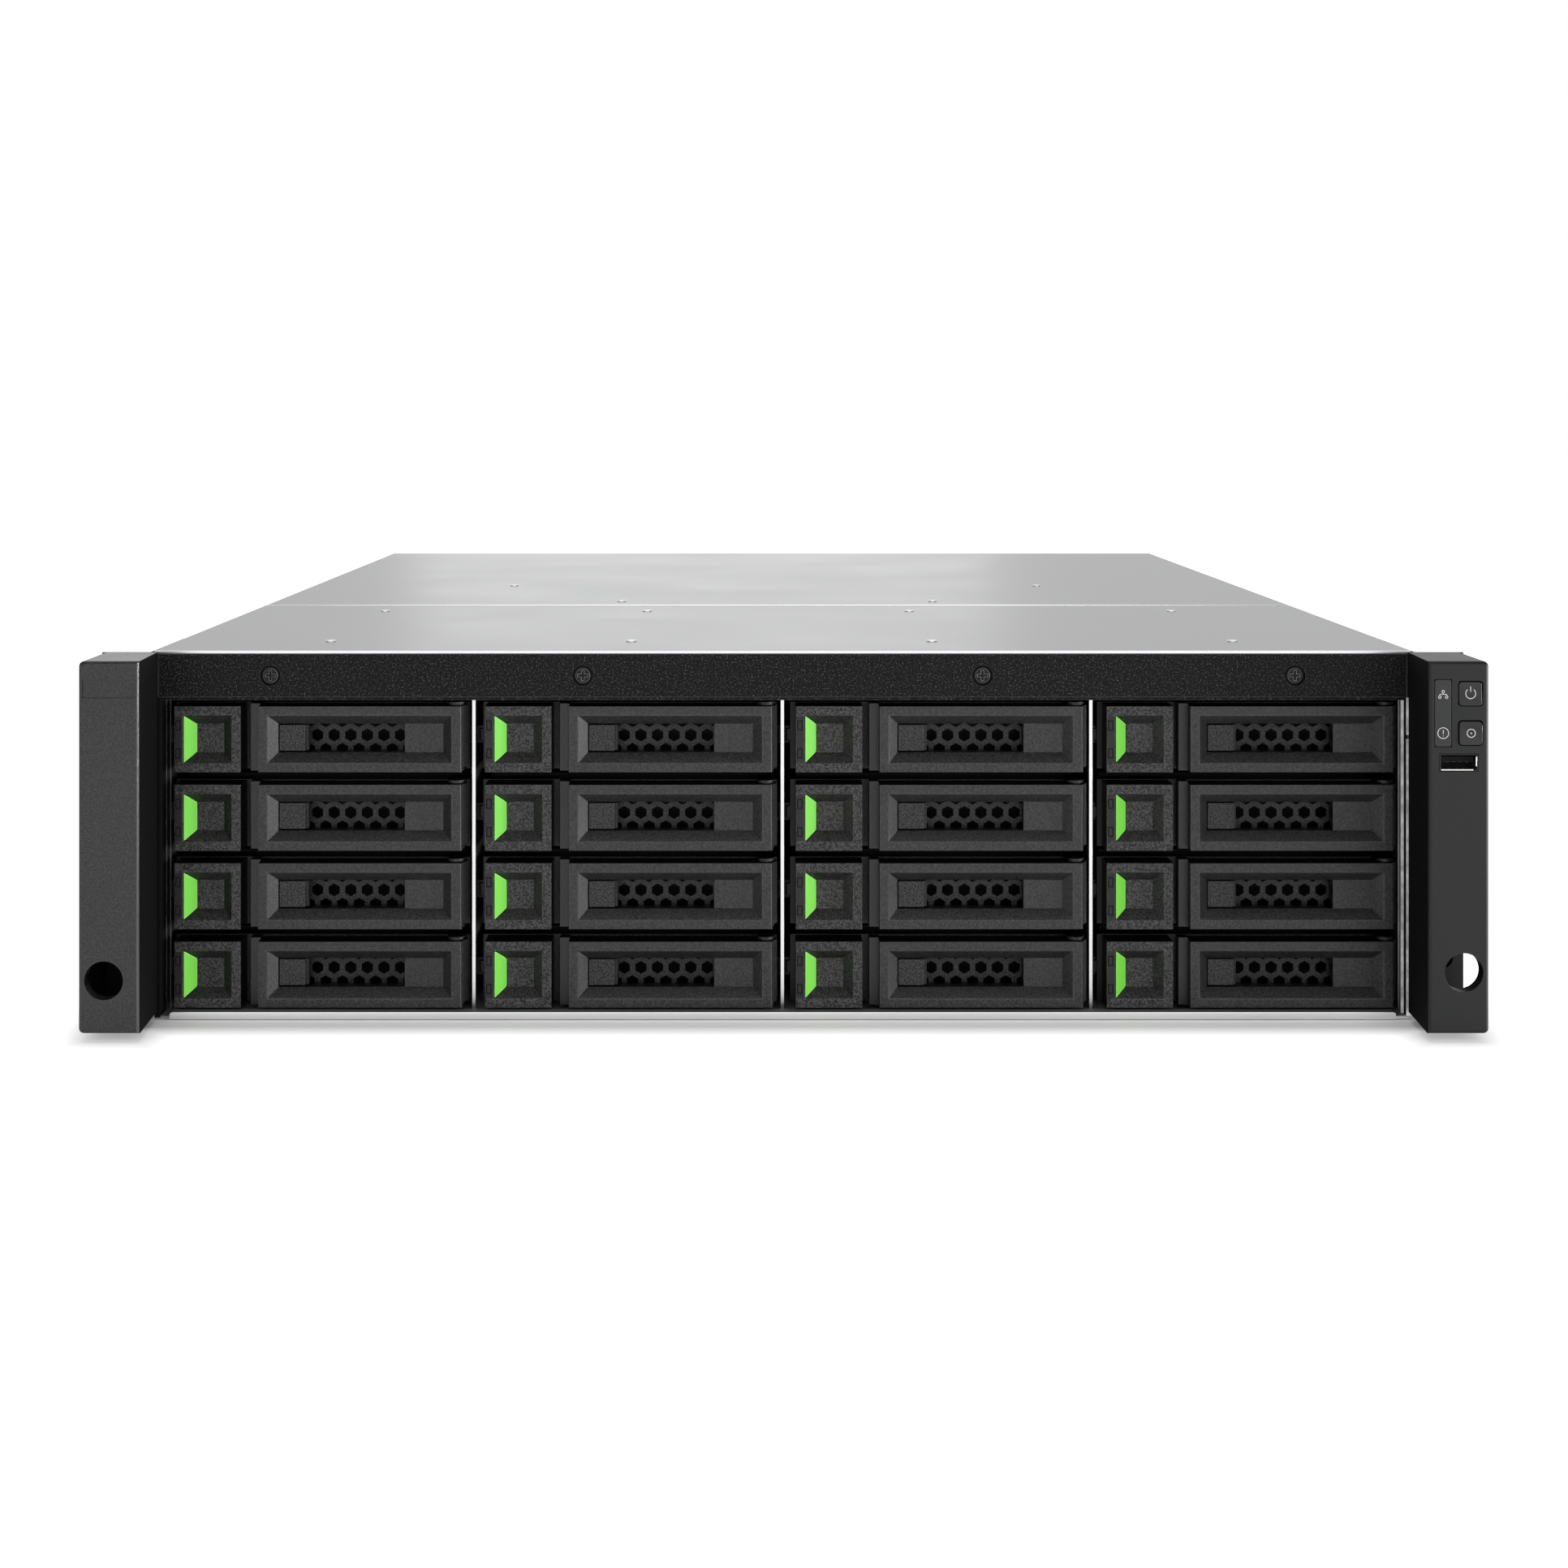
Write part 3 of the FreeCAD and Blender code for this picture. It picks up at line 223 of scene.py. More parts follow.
def piece(name, mesh, coat, body, slot, *nodes):
    """An object of a mesh that rides on a body, wears a finish and may stand for nodes."""
    bmesh.ops.dissolve_degenerate(mesh, dist=MERGED, edges=mesh.edges)
    bmesh.ops.triangulate(mesh, faces=[face for face in mesh.faces if len(face.verts) > 4])
    for face in mesh.faces:
        face.smooth = True
    for edge in mesh.edges:
        edge.smooth = len(edge.link_faces) == 2 and edge.calc_face_angle() < CREASED
    data = bpy.data.meshes.new(name)
    mesh.to_mesh(data)
    mesh.free()
    data.materials.append(coat)
    thing = bpy.data.objects.new(name, data)
    bpy.context.scene.collection.objects.link(thing)
    even = thing.modifiers.new("even_normals", "WEIGHTED_NORMAL")
    even.keep_sharp = True
    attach(thing, body)
    if nodes:
        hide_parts(*nodes)


def steel(name, face, edge, rough, glance=1.0):
    """Plated sheet: cloudy zinc with a fine rolled grain, tinted at low angles, and bright on marked edges
    and faces, partly bare cut steel and partly painted highlight.
    """
    cloudy = [part * CLOUDED for part in face]

    def paint(flow, place):
        cloud = flow.grade(flow.noise(place, 14.0, 3.0))
        grain = flow.noise(place, 2400.0)
        wear_and_painted_light = flow.wear_and_painted_light()
        return {"Base Color": flow.mix(wear_and_painted_light, flow.mix(cloud, (*face, 1.0), (*cloudy, 1.0)), (*edge, 1.0)),
                "Roughness": rough + 0.06 * cloud + 0.05 * grain - (rough - CUT_ROUGH) * wear_and_painted_light,
                "Normal": flow.bump(grain, 0.05, 0.00004)}

    return finish(name, paint, metal=1.0, others={"Specular Tint": (glance, glance, glance, 1.0)})


pan_steel = steel("pan_steel", (0.27, 0.272, 0.28), (0.8, 0.8, 0.8), rough=0.56, glance=0.6)
case_steel = steel("case_steel", (0.42, 0.422, 0.43), (0.58, 0.58, 0.59), rough=0.32, glance=0.8)
pan = copy_of("base_pan")
softened(pan, CASE_EDGE, lambda end: end.y < HEM_DEPTH and end.z < HEM_TOP)
# The left wall's front edge is left out of the bright edge colour: painted shade on the left side.
mark_cut_and_lit_faces(pan, LEFT_WALL_IN_SHADE)
piece("case_pan", pan, pan_steel, "chassis", "case_steel", "base_pan")
for name in ("front", "rear"):
    cover = copy_of(name + "_top_cover")
    softened(cover, CASE_EDGE, shortest=LONG_EDGE)
    mark_cut_and_lit_faces(cover)
    piece("case_cover_" + name, cover, case_steel, "chassis", "case_steel", name + "_top_cover")

# Seam lip: a strip spot-welded along the rear cover's front edge, which laps over the seam.
# It wears the covers' plate, and its upper edges are planed off; its front is painted bright, a painted
# highlight.
LIP_LAP = 0.0008
LIP_LENGTH = 0.007
LIP_RISE = 0.00038
LIP_ROUND = 0.0003
LIP_FRONT = -0.3


def block(mesh, low, high):
    """Adds a box between two corners to a mesh."""
    verts = bmesh.ops.create_cube(mesh, size=1.0)["verts"]
    bmesh.ops.scale(mesh, vec=Vector(high) - Vector(low), verts=verts)
    bmesh.ops.translate(mesh, vec=(Vector(high) + Vector(low)) / 2, verts=verts)
    return verts


def bars(width, *boxes):
    """A mesh of boxes, each between two corners, with rounded edges."""
    mesh = bmesh.new()
    for low, high in boxes:
        block(mesh, low, high)
    softened(mesh, width)
    return mesh


low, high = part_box("rear_top_cover")
lip = bmesh.new()
block(lip, (low.x + LIP_LAP, low.y - LIP_LAP, high.z),
      (high.x - LIP_LAP, low.y + LIP_LENGTH, high.z + LIP_RISE))
bevelled(lip, corners(lip, lambda end: end.z > high.z + LIP_RISE / 2), LIP_ROUND)
mark(lip, 1.0, lambda at, way: way.y < LIP_FRONT)
lip_highlight_steel = steel("lip_highlight_steel", (0.42, 0.422, 0.43), (0.88, 0.88, 0.88), rough=0.32, glance=0.8)
piece("cover_seam_lip", lip, lip_highlight_steel, "chassis", "case_steel")

# Cover rivets: low steel rivets set from above, which hold the covers to the brackets under them.
# Their plate is painted brighter than the covers', a painted highlight that stands for their glints.
RIVET_GLINT_PLATE = (0.85, 0.85, 0.86)


def repaint(node, coat):
    """Gives a node that stays as it is a better finish."""
    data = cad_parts[node].data
    data.materials.clear()
    data.materials.append(coat)


repaint("cover_rivets", steel("rivet_glint_steel", RIVET_GLINT_PLATE, RIVET_GLINT_PLATE, rough=0.4))

# Drive cage: upright dividers between the bays and partitions behind, of plated sheet, under a black roof.
# The dividers' front edges catch the light as bright lines between the trays.
# Runners of grey nylon line the bays.
CAGE_EDGE = 0.00015
SHADED_LINER_REACH = 0.002
DIVIDER_FRONT = 0.02
BETWEEN_BAYS = 0.3
FOLD_LAP = 0.0002
FOLD_PROUD = 0.0001
FOLD_DEPTH = 0.003
FOLD_ROUND = 0.00015


def solids_of(node):
    """A node's separate solids as meshes, the one with most faces first."""
    whole = copy_of(node)
    whole.faces.ensure_lookup_table()
    left = set(range(len(whole.faces)))
    groups = []
    while left:
        reached = [left.pop()]
        for number in reached:
            near = {face.index for edge in whole.faces[number].edges for face in edge.link_faces} & left
            left -= near
            reached.extend(near)
        groups.append(set(reached))
    found = []
    for group in sorted(groups, key=lambda numbers: (-len(numbers), min(numbers))):
        part = whole.copy()
        bmesh.ops.delete(part, geom=[face for face in part.faces if face.index not in group], context="FACES")
        found.append(part)
    whole.free()
    return found


def extent(mesh):
    """The lowest and highest corners of a mesh."""
    axes = list(zip(*(vert.co for vert in mesh.verts)))
    return Vector(map(min, axes)), Vector(map(max, axes))


def joined(parts):
    """One mesh of several, which are freed."""
    whole = bmesh.new()
    for part in parts:
        data = bpy.data.meshes.new("joined")
        part.to_mesh(data)
        part.free()
        whole.from_mesh(data)
        bpy.data.meshes.remove(data)
    return whole


def tone(red, green, blue):
    """A colour as it shows, from 0 to 255, as the shader's colour."""
    shares = [value / 255 for value in (red, green, blue)]
    return tuple(s / 12.92 if s < 0.04045 else ((s + 0.055) / 1.055) ** 2.4 for s in shares) + (1.0,)


def grey(value):
    """A neutral colour as it shows."""
    return tone(value, value, value)


def powder_coat(flow, place):
    """Black powder coat: fine grit with pale specks, paler on marked edges as painted highlight and rubbing,
    and near black where marked for painted shade.
    """
    grit = flow.noise(place, 1700.0, 3.0, 0.7)
    coat = flow.mix(flow.spread(grit, 0.55, 0.71), grey(5), grey(92))
    rubbed = flow.mix(0.2 * flow.wear_and_painted_light(), coat, grey(110))
    return {"Base Color": flow.mix(flow.painted_shade(), rubbed, grey(3)),
            "Roughness": flow.grade(grit, 0.62, 0.5),
            "Normal": flow.bump(grit, 0.6, 0.00015)}


def grained(name, scale, tones, dulling, detail=2.0, relief=None, **constants):
    """A finish of which two tones, the dullness and, where it has one, the relief follow a fine grain."""
    def paint(flow, place):
        grain = flow.noise(place, scale, detail)
        looks = {"Base Color": flow.mix(grain, *tones), "Roughness": flow.grade(grain, *dulling)}
        if relief:
            looks["Normal"] = flow.bump(grain, *relief)
        return looks

    return finish(name, paint, **constants)


bezel_coat = finish("bezel_coat", powder_coat, gloss=0.12)
cage_steel = steel("cage_steel", (0.3, 0.303, 0.31), (0.4, 0.4, 0.4), rough=0.3)
walls = solids_of("partition_walls")
roof = walls.pop(0)
softened(roof, CAGE_EDGE, shortest=LONG_EDGE)
piece("cage_roof", roof, bezel_coat, "chassis", "cage_steel")
for wall in walls:
    softened(wall, CAGE_EDGE, shortest=LONG_EDGE)
    # The left liner's front edge is left out of the bright edge colour: painted shade on the left side.
    if extent(wall)[1].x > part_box("partition_walls")[0].x + SHADED_LINER_REACH:
        mark_cut_and_lit_faces(wall)
dividers = [extent(wall) for wall in walls if extent(wall)[0].y < DIVIDER_FRONT]
piece("cage_walls", joined(walls), cage_steel, "chassis", "cage_steel", "partition_walls")
folds = bars(FOLD_ROUND, *(((low.x - FOLD_LAP, low.y - FOLD_PROUD, low.z),
                            (high.x + FOLD_LAP, low.y + FOLD_DEPTH, high.z))
                           for low, high in dividers if abs(low.x + high.x) < BETWEEN_BAYS))
# The folds' forward faces take the bright edge colour, a painted highlight.
mark_cut_and_lit_faces(folds)
piece("divider_folds", folds, case_steel, "chassis", "cage_steel")
nylon = grained("runner_plastic", 900.0, (grey(8), grey(14)), (0.5, 0.6), gloss=0.3)
repaint("bay_runners", nylon)

# Wall trim: black foam on the fronts of the pan's side walls, a hem of dull zinc in two lengths over the
# right wall's front edge, and a thin guide strip beside each outer bay, coated black on the left.
TRIM_EDGE = 0.0001
TRIM_PROUD = 0.0003
TRIM_FOOT = 0.0013
FOAM_SHEET = 0.0004
FOAM_SHADE_FOOT = 0.0006
FOAM_SHADE_DEPTH = 0.0079
LEFT_FOAM_SHADE = 0.0021
WALL_SHEET = 0.0012
LEFT_GUIDE = 0.0029
LEFT_GUIDE_DEPTH = 0.0096
GUIDE_LIGHTENING = 3.0
RIGHT_GUIDE = 0.0014
RIGHT_GUIDE_DEPTH = 0.003
HEM_WIDTH = 0.00165
HEM_SPLIT = 0.0995
HEM_NOTCH = 0.0015


def dull_zinc(flow, place):
    """Dull zinc, spotted by handling."""
    spots = flow.noise(place, 260.0, 3.0)
    return {"Base Color": flow.mix(flow.spread(spots, 0.35, 0.65), tone(178, 177, 176), tone(236, 235, 234)),
            "Roughness": flow.grade(spots, 0.55, 0.65)}


low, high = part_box("base_pan")
trim_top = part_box("bezel_bar")[0].z
wall_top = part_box("bezel_bar")[1].z
hem_left = high.x - HEM_WIDTH
wall_left = high.x - WALL_SHEET
# The black foam strips are painted shade: dark strips laid where the walls' fronts stand in shade.
strips = bars(TRIM_EDGE,
              ((low.x, -TRIM_PROUD, FOAM_SHADE_FOOT), (low.x + LEFT_FOAM_SHADE, FOAM_SHADE_DEPTH, trim_top)),
              ((low.x, -TRIM_PROUD, trim_top), (low.x + WALL_SHEET, 0.0, wall_top)),
              ((wall_left, -TRIM_PROUD, trim_top), (high.x, 0.0, wall_top)),
              ((wall_left - FOAM_SHEET, 0.0, TRIM_FOOT), (wall_left, RIGHT_GUIDE_DEPTH, trim_top)))
shade_foam_black = grained("shade_foam_black", 2500.0, (grey(8), grey(20)), (0.8, 0.95), detail=3.0, relief=(0.5, 0.0001),
                     gloss=0.05)
piece("wall_foam_shade", strips, shade_foam_black, "chassis", "bezel_coat")
hems = bars(TRIM_EDGE,
            ((hem_left, -TRIM_PROUD, TRIM_FOOT), (high.x, 0.0, HEM_SPLIT)),
            ((hem_left, -TRIM_PROUD, HEM_SPLIT + HEM_NOTCH), (high.x, 0.0, trim_top)),
            ((wall_left - RIGHT_GUIDE, RIGHT_GUIDE_DEPTH, TRIM_FOOT),
             (wall_left, RIGHT_GUIDE_DEPTH + FOAM_SHEET, trim_top)))
piece("wall_hems", hems, finish("dull_zinc", dull_zinc, metal=0.2), "chassis", "case_steel")
# The left guide is coated black as painted shade, where the right guide is lit zinc, and the mark paints it
# paler as a whole.
guide = bars(TRIM_EDGE, ((low.x + LEFT_GUIDE, LEFT_GUIDE_DEPTH, TRIM_FOOT),
                         (low.x + LEFT_GUIDE + FOAM_SHEET, LEFT_GUIDE_DEPTH + FOAM_SHEET, trim_top)))
mark(guide, GUIDE_LIGHTENING)
piece("left_guide_strip", guide, bezel_coat, "chassis", "bezel_coat")

# Bezel: a steel bar with a black powder coat over the bays, screwed to a tab of the cage's roof.
# Its four cross-head screws are black and sit in countersinks.
BEZEL_EDGE = 0.0003
SINK_EDGE = 0.0005
SINK_REACH = 0.0042
SINK_FLOOR = 0.0003
SINK_SHINE = 3.0
HEAD_EDGE = 0.00045
HEAD_SHINE = 0.3
CROSS_EDGE = 0.00016
CROSS_REACH = 0.0022
SCREW_PLANE = 0.00001


def black_oxide(flow, place):
    """Blackened steel, pale and metallic on marked edges: painted glints on the cross and the rim, partly
    polish from the driver.
    """
    wear = flow.noise(place, 700.0, 3.0)
    black = flow.mix(flow.spread(wear, 0.4, 0.7), grey(5), grey(18))
    return {"Base Color": flow.mix(flow.wear_and_painted_light(), black, tone(120, 120, 121)),
            "Metallic": flow.wear_and_painted_light(),
            "Roughness": flow.grade(wear, 0.45, 0.35)}


def paint_shade(mesh, share, hidden):
    """Marks the faces whose middle and normal pass a test for painted shade, to a share."""
    mark(mesh, share, hidden, "painted_shade")


def middle_of(mesh):
    """The middle of a mesh's box."""
    return sum(extent(mesh), Vector()) / 2


heads = solids_of("bezel_screws")
places = [middle_of(head) for head in heads]
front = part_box("bezel_bar")[0].y


def near_screw(end, reach):
    """True for a point within reach of a screw's axis."""
    return min(math.hypot(end.x - place.x, end.z - place.z) for place in places) < reach


bar = copy_of("bezel_bar")
softened(bar, BEZEL_EDGE, shortest=LONG_EDGE)
# A paler ring round each countersink is a painted highlight, and the countersinks' floors get painted shade.
softened(bar, SINK_EDGE, lambda end: end.y < front + SCREW_PLANE and near_screw(end, SINK_REACH))
layer = marks(bar)
for face in bar.faces:
    if near_screw(face.calc_center_median(), SINK_REACH):
        face[layer] *= SINK_SHINE
paint_shade(bar, 1.0, lambda at, way: near_screw(at, SINK_REACH) and at.y > front + SINK_FLOOR)
piece("bezel_front", bar, bezel_coat, "chassis", "bezel_coat", "bezel_bar")
# The heads' rims and cross edges are marked pale and metallic: painted glints, partly polish.
for head in heads:
    top = extent(head)[0].y + SCREW_PLANE
    layer = marks(head)
    softened(head, HEAD_EDGE, lambda end: end.y < top and not near_screw(end, CROSS_REACH), steps=3)
    for face in head.faces:
        face[layer] *= HEAD_SHINE
    softened(head, CROSS_EDGE, lambda end: end.y < top and near_screw(end, CROSS_REACH))
dark_screw = finish("dark_screw", black_oxide, gloss=0.15)
piece("bezel_screw_heads", joined(heads), dark_screw, "chassis", "bezel_coat", "bezel_screws")

# Trays: black mouldings with a spark-eroded grain, each with a square latch housing, a honeycomb grille
# and rails along the drive. They slide in the runners.
BAYS = ["%02d" % number for number in range(1, 17)]
TRAY_EDGE = 0.00028
FRONT_PLANE = 0.00001
MOUTH = 0.001
SLOPE_END = 0.0034
GRILLE_DEPTH = 0.009
GRILLE_BACK = 0.0125
GRILLE_SHADE = 0.45
SLOPE_SHADE = 0.5
SIDE_FACE = 0.3


def moulding(name, low, high, relief, grain=1700.0, rough=0.46, gloss=0.5):
    """Black moulded plastic: a spark-eroded grain and faint flow marks, a little paler on marked edges as
    painted highlight and rubbing, and near black where marked for painted shade.
    """
    def paint(flow, place):
        grit = flow.noise(place, grain, 3.0, 0.65)
        marks_of_flow = flow.noise(place, 30.0)
        wear_and_painted_light = flow.wear_and_painted_light()
        painted_shade = flow.painted_shade()
        shade = flow.mix(0.07 * wear_and_painted_light, flow.mix(flow.spread(grit, 0.4, 0.64), low, high), tone(110, 109, 109))
        satin = flow.grade(marks_of_flow, rough - 0.03, rough + 0.03)
        return {"Base Color": flow.mix(painted_shade, shade, grey(5)),
                "Roughness": satin - 0.1 * wear_and_painted_light - 0.1 * painted_shade,
                "Normal": flow.bump(grit, relief, 0.00012)}

    return finish(name, paint, gloss)


def tray_solids(node):
    """The tray's moulding, its drive and, below the top row, its release button."""
    body, *rest = solids_of(node)
    rest.sort(key=lambda mesh: extent(mesh)[0].y)
    return body, rest[-1], rest[0] if len(rest) > 1 else None


def split(mesh, place, way):
    """Cuts a mesh's faces along a plane."""
    bmesh.ops.bisect_plane(mesh, geom=mesh.verts[:] + mesh.edges[:] + mesh.faces[:], plane_co=place,
                           plane_no=way, dist=MERGED)


tray_plastic = moulding("tray_plastic", grey(2), tone(72, 71, 71), relief=1.0, gloss=0.24)
drives = {}
buttons = {}
latch_lefts = {}
for bay in BAYS:
    node = "drive_tray_" + bay
    shell, drives[bay], buttons[bay] = tray_solids(node)
    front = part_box(node)[0].y + FRONT_PLANE
    latch_lefts[bay] = min(vert.co.x for vert in shell.verts if vert.co.y < front)
    side = latch_lefts[bay] - FRONT_PLANE
    softened(shell, TRAY_EDGE, lambda end: end.y < front)
    split(shell, (side, 0, 0), (1, 0, 0))
    # Painted shade: the tray's inside, the grille's mouth and webs, the latch recess's slopes and the ribs
    # left of the latch housing.
    paint_shade(shell, 1.0, lambda at, way: at.y > front + GRILLE_BACK)
    paint_shade(shell, 1.0, lambda at, way: MOUTH < at.y - front < GRILLE_DEPTH and abs(way.y) < SIDE_FACE)
    paint_shade(shell, SLOPE_SHADE, lambda at, way: MOUTH < at.y - front < SLOPE_END and way.y < -SIDE_FACE)
    paint_shade(shell, GRILLE_SHADE, lambda at, way: GRILLE_DEPTH < at.y - front < GRILLE_BACK)
    paint_shade(shell, 1.0, lambda at, way: at.x < side)
    piece("tray_" + bay, shell, tray_plastic, node, "tray_plastic", node)

# Drives: castings with a black coat under a pressed steel lid, held between the tray's rails.
# The lid is bare metal, sunk a little below the casting's rim, with a raised field in its middle.
DRIVE_EDGE = 0.0009
LID_MARGIN = 0.003
LID_DEPTH = 0.0006
LID_STEP = 0.016
LID_RISE = 0.0004


def cast_metal(flow, place):
    """Black coat over a fine casting, with bare metal where a face is marked."""
    sand = flow.noise(place, 1100.0, 3.0)
    bare = flow.wear_and_painted_light()
    coat = flow.mix(sand, grey(3), grey(8))
    return {"Base Color": flow.mix(bare, coat, tone(150, 151, 154)),
            "Metallic": bare,
            "Roughness": flow.grade(sand, 0.4, 0.5),
            "Normal": flow.bump(sand, 0.15, 0.00008)}


def step_in(mesh, face, width, rise=0.0):
    """Leaves a rim round a face, which may rise or sink, and gives the rim's faces."""
    rim = bmesh.ops.inset_region(mesh, faces=[face], thickness=width, depth=rise, use_even_offset=True)
    return rim["faces"]


drive_metal = finish("drive_metal", cast_metal, gloss=0.1)
for bay in BAYS:
    drive = drives[bay]
    softened(drive, DRIVE_EDGE, shortest=LONG_EDGE)
    mark(drive, 0.0)
    lid = max(drive.faces, key=lambda face: face.normal.z * face.calc_area())
    step_in(drive, lid, LID_MARGIN)
    step_in(drive, lid, LID_DEPTH, -LID_DEPTH)
    lid[marks(drive)] = 1.0
    step_in(drive, lid, LID_STEP)
    step_in(drive, lid, LID_RISE, LID_RISE)
    piece("drive_" + bay, drive, drive_metal, "drive_tray_" + bay, "tray_plastic")

# Handles: moulded bars hinged at the tray's right end, with a finger recess, a window in its floor
# and a lock slider with a finer grain in the window's left end.
HANDLE_EDGE = 0.0003
LIP_EDGE = 0.00025
LIP_REACH = 0.0036
LIP_SHADE = 0.9
FRAME_HEIGHT = 0.0237
STEP_SHADE = 0.6
WINDOW_EDGE = 0.0002
SLIDER_EDGE = 0.0002
STEP_WIDTH = 0.001
FLOOR_PLANE = 0.0035
handle_plastic = moulding("handle_plastic", grey(2), tone(46, 45, 45), relief=0.8, rough=0.44, gloss=0.38)
slider_plastic = moulding("slider_plastic", grey(2), grey(66),
                          relief=1.0, grain=1800.0, rough=0.48, gloss=0.22)
for bay in BAYS:
    node = "tray_handle_" + bay
    bar, slider = solids_of(node)
    low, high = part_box(node)
    softened(bar, HANDLE_EDGE, lambda end: end.y < low.y + FRONT_PLANE)
    softened(bar, LIP_EDGE, lambda end: end.x < low.x + LIP_REACH and end.y < low.y + 2 * FLOOR_PLANE)
    softened(bar, WINDOW_EDGE, lambda end: abs(end.y - low.y - FLOOR_PLANE) < FRONT_PLANE)
    # Painted shade: the recess walls, the hinge tabs above the frame and the lip's front.
    paint_shade(bar, 1.0, lambda at, way: at.y > low.y + MOUTH and abs(way.y) < SIDE_FACE)
    paint_shade(bar, 1.0, lambda at, way: at.z > low.z + FRAME_HEIGHT)
    paint_shade(bar, LIP_SHADE, lambda at, way: at.x < low.x + LIP_REACH and way.y < FORWARD_FACE)
    piece("handle_" + bay, bar, handle_plastic, node, "handle_plastic", node)
    step = extent(slider)[1].x - STEP_WIDTH
    softened(slider, SLIDER_EDGE)
    # Painted shade on the slider's step.
    paint_shade(slider, STEP_SHADE, lambda at, way: at.x > step)
    piece("lock_slider_" + bay, slider, slider_plastic, node, "handle_plastic")

# Release buttons: bright green mouldings that form the left side of each latch recess.
# Those of the top row press by themselves.
RELEASE_EDGE = 0.0003
RELEASES_WITH_NODES = BAYS[:4]


def green_plastic(flow, place):
    """Green moulding with a fine satin grain, paler on its marked edges as a painted highlight."""
    grit = flow.noise(place, 1800.0)
    return {"Base Color": flow.mix(flow.wear_and_painted_light(), tone(104, 195, 54), tone(132, 214, 90)),
            "Roughness": flow.grade(grit, 0.42, 0.52),
            "Normal": flow.bump(grit, 0.1, 0.00005)}


release_plastic = finish("release_plastic", green_plastic, gloss=0.3)
for bay in BAYS:
    button, body, nodes = buttons[bay], "drive_tray_" + bay, []
    if bay in RELEASES_WITH_NODES:
        body = "release_button_" + bay
        button, nodes = copy_of(body), [body]
    softened(button, RELEASE_EDGE)
    piece("release_" + bay, button, release_plastic, body, "release_plastic", *nodes)

# Lamp strips: smooth black light guides let into the left edge of each latch housing. Each shows two small
# smoked windows with a black frame painted round them, painted shade for the gap round each window.
STRIP_LEFT = 0.00035
STRIP_RIGHT = 0.00285
STRIP_HALF = 0.0082
STRIP_PROUD = 0.00004
STRIP_BACK = 0.0003
LENS_LEFT = 0.0005
LENS_WIDTH = 0.0019
LENS_HEIGHT = 0.0035
LENS_OFFSET = 0.005
LENS_PROUD = 0.0001
LENS_FRAME = 0.0003
LENS_SUNK = 0.00008
HANDLE_HALF = 0.0118


def smoked(flow, place):
    """Smoked plastic over a dark light guide, black on the marked frame round each window, as painted shade
    of its gap.
    """
    haze = flow.noise(place, 600.0)
    clear = flow.mix(haze, grey(20), grey(30))
    return {"Base Color": flow.mix(flow.wear_and_painted_light(), clear, grey(1)),
            "Roughness": flow.grade(haze, 0.4, 0.46) + 0.5 * flow.wear_and_painted_light()}


lamp_plastic = finish("lamp_plastic", smoked, gloss=0.25)
for bay in BAYS:
    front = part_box("drive_tray_" + bay)[0].y
    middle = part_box("tray_handle_" + bay)[0].z + HANDLE_HALF
    left = latch_lefts[bay]
    strip = bmesh.new()
    block(strip, (left + STRIP_LEFT, front - STRIP_PROUD, middle - STRIP_HALF),
          (left + STRIP_RIGHT, front + STRIP_BACK, middle + STRIP_HALF))
    bevelled(strip, strip.edges[:], STRIP_PROUD / 2)
    layer = marks(strip)
    for z in (middle - LENS_OFFSET, middle + LENS_OFFSET):
        lens = block(strip, (left + LENS_LEFT, front - LENS_PROUD, z - LENS_HEIGHT / 2),
                     (left + LENS_LEFT + LENS_WIDTH, front, z + LENS_HEIGHT / 2))
        sides = {face for vert in lens for face in vert.link_faces}
        window = min(sides, key=lambda face: face.normal.y)
        gap_shade_faces = [face for face in sides if face != window]
        gap_shade_faces += step_in(strip, window, LENS_FRAME)
        gap_shade_faces += step_in(strip, window, LENS_SUNK, -LENS_SUNK)
        for face in gap_shade_faces:
            face[layer] = 1.0
    piece("lamp_strip_" + bay, strip, lamp_plastic, "drive_tray_" + bay, "window_plastic")

# Ears: hollow mouldings screwed over the steel rack flanges, each with a round hole for the driver that
# turns the rack screw. The left one has a coarser grain, and the right one carries the controls.
KEYS = ("power_button", "locator_button")
HOLE_EDGE = 0.0003
HOLE_HEIGHTS = {"left": 0.0212, "right": 0.024}
HOLE_INSET = 0.00874
HOLE_REACH = 0.0075
INNER_SIDE = 0.95
INNER_SHADE = 0.8
INNER_RIM = 0.45
RIM_SHINE = {"left": 4.0, "right": 0.0}
TOP_REACH = 0.002
TOP_SHINE = {"left": 2.0, "right": 0.5}
FELT_SHEET = 0.00006
FELT_REACH = 0.002
SEAT_CORNER = 0.0012
SEAT_REACH = 0.0009


def key_seats(mesh):
    """The inside corners, from front to back, of the seats that the two keys move in."""
    found = []
    for node in KEYS:
        low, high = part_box(node)
        for edge in mesh.edges:
            start, end = (vert.co for vert in edge.verts)
            flat = abs(start.x - end.x) + abs(start.z - end.z) < MERGED
            beside = min(abs(start.x - low.x), abs(start.x - high.x)) < SEAT_REACH
            level = low.z < start.z < high.z
            if flat and beside and level and not edge.is_convex:
                found.append(edge)
    return found


def verts_in(geometry):
    """The vertices among what an operator has made."""
    return [part for part in geometry if isinstance(part, bmesh.types.BMVert)]


def proud(mesh, way):
    """Gives a sheet a thickness, raised by a vector."""
    raised = bmesh.ops.extrude_face_region(mesh, geom=mesh.faces[:])["geom"]
    bmesh.ops.translate(mesh, verts=verts_in(raised), vec=way)
    bmesh.ops.recalc_face_normals(mesh, faces=mesh.faces)


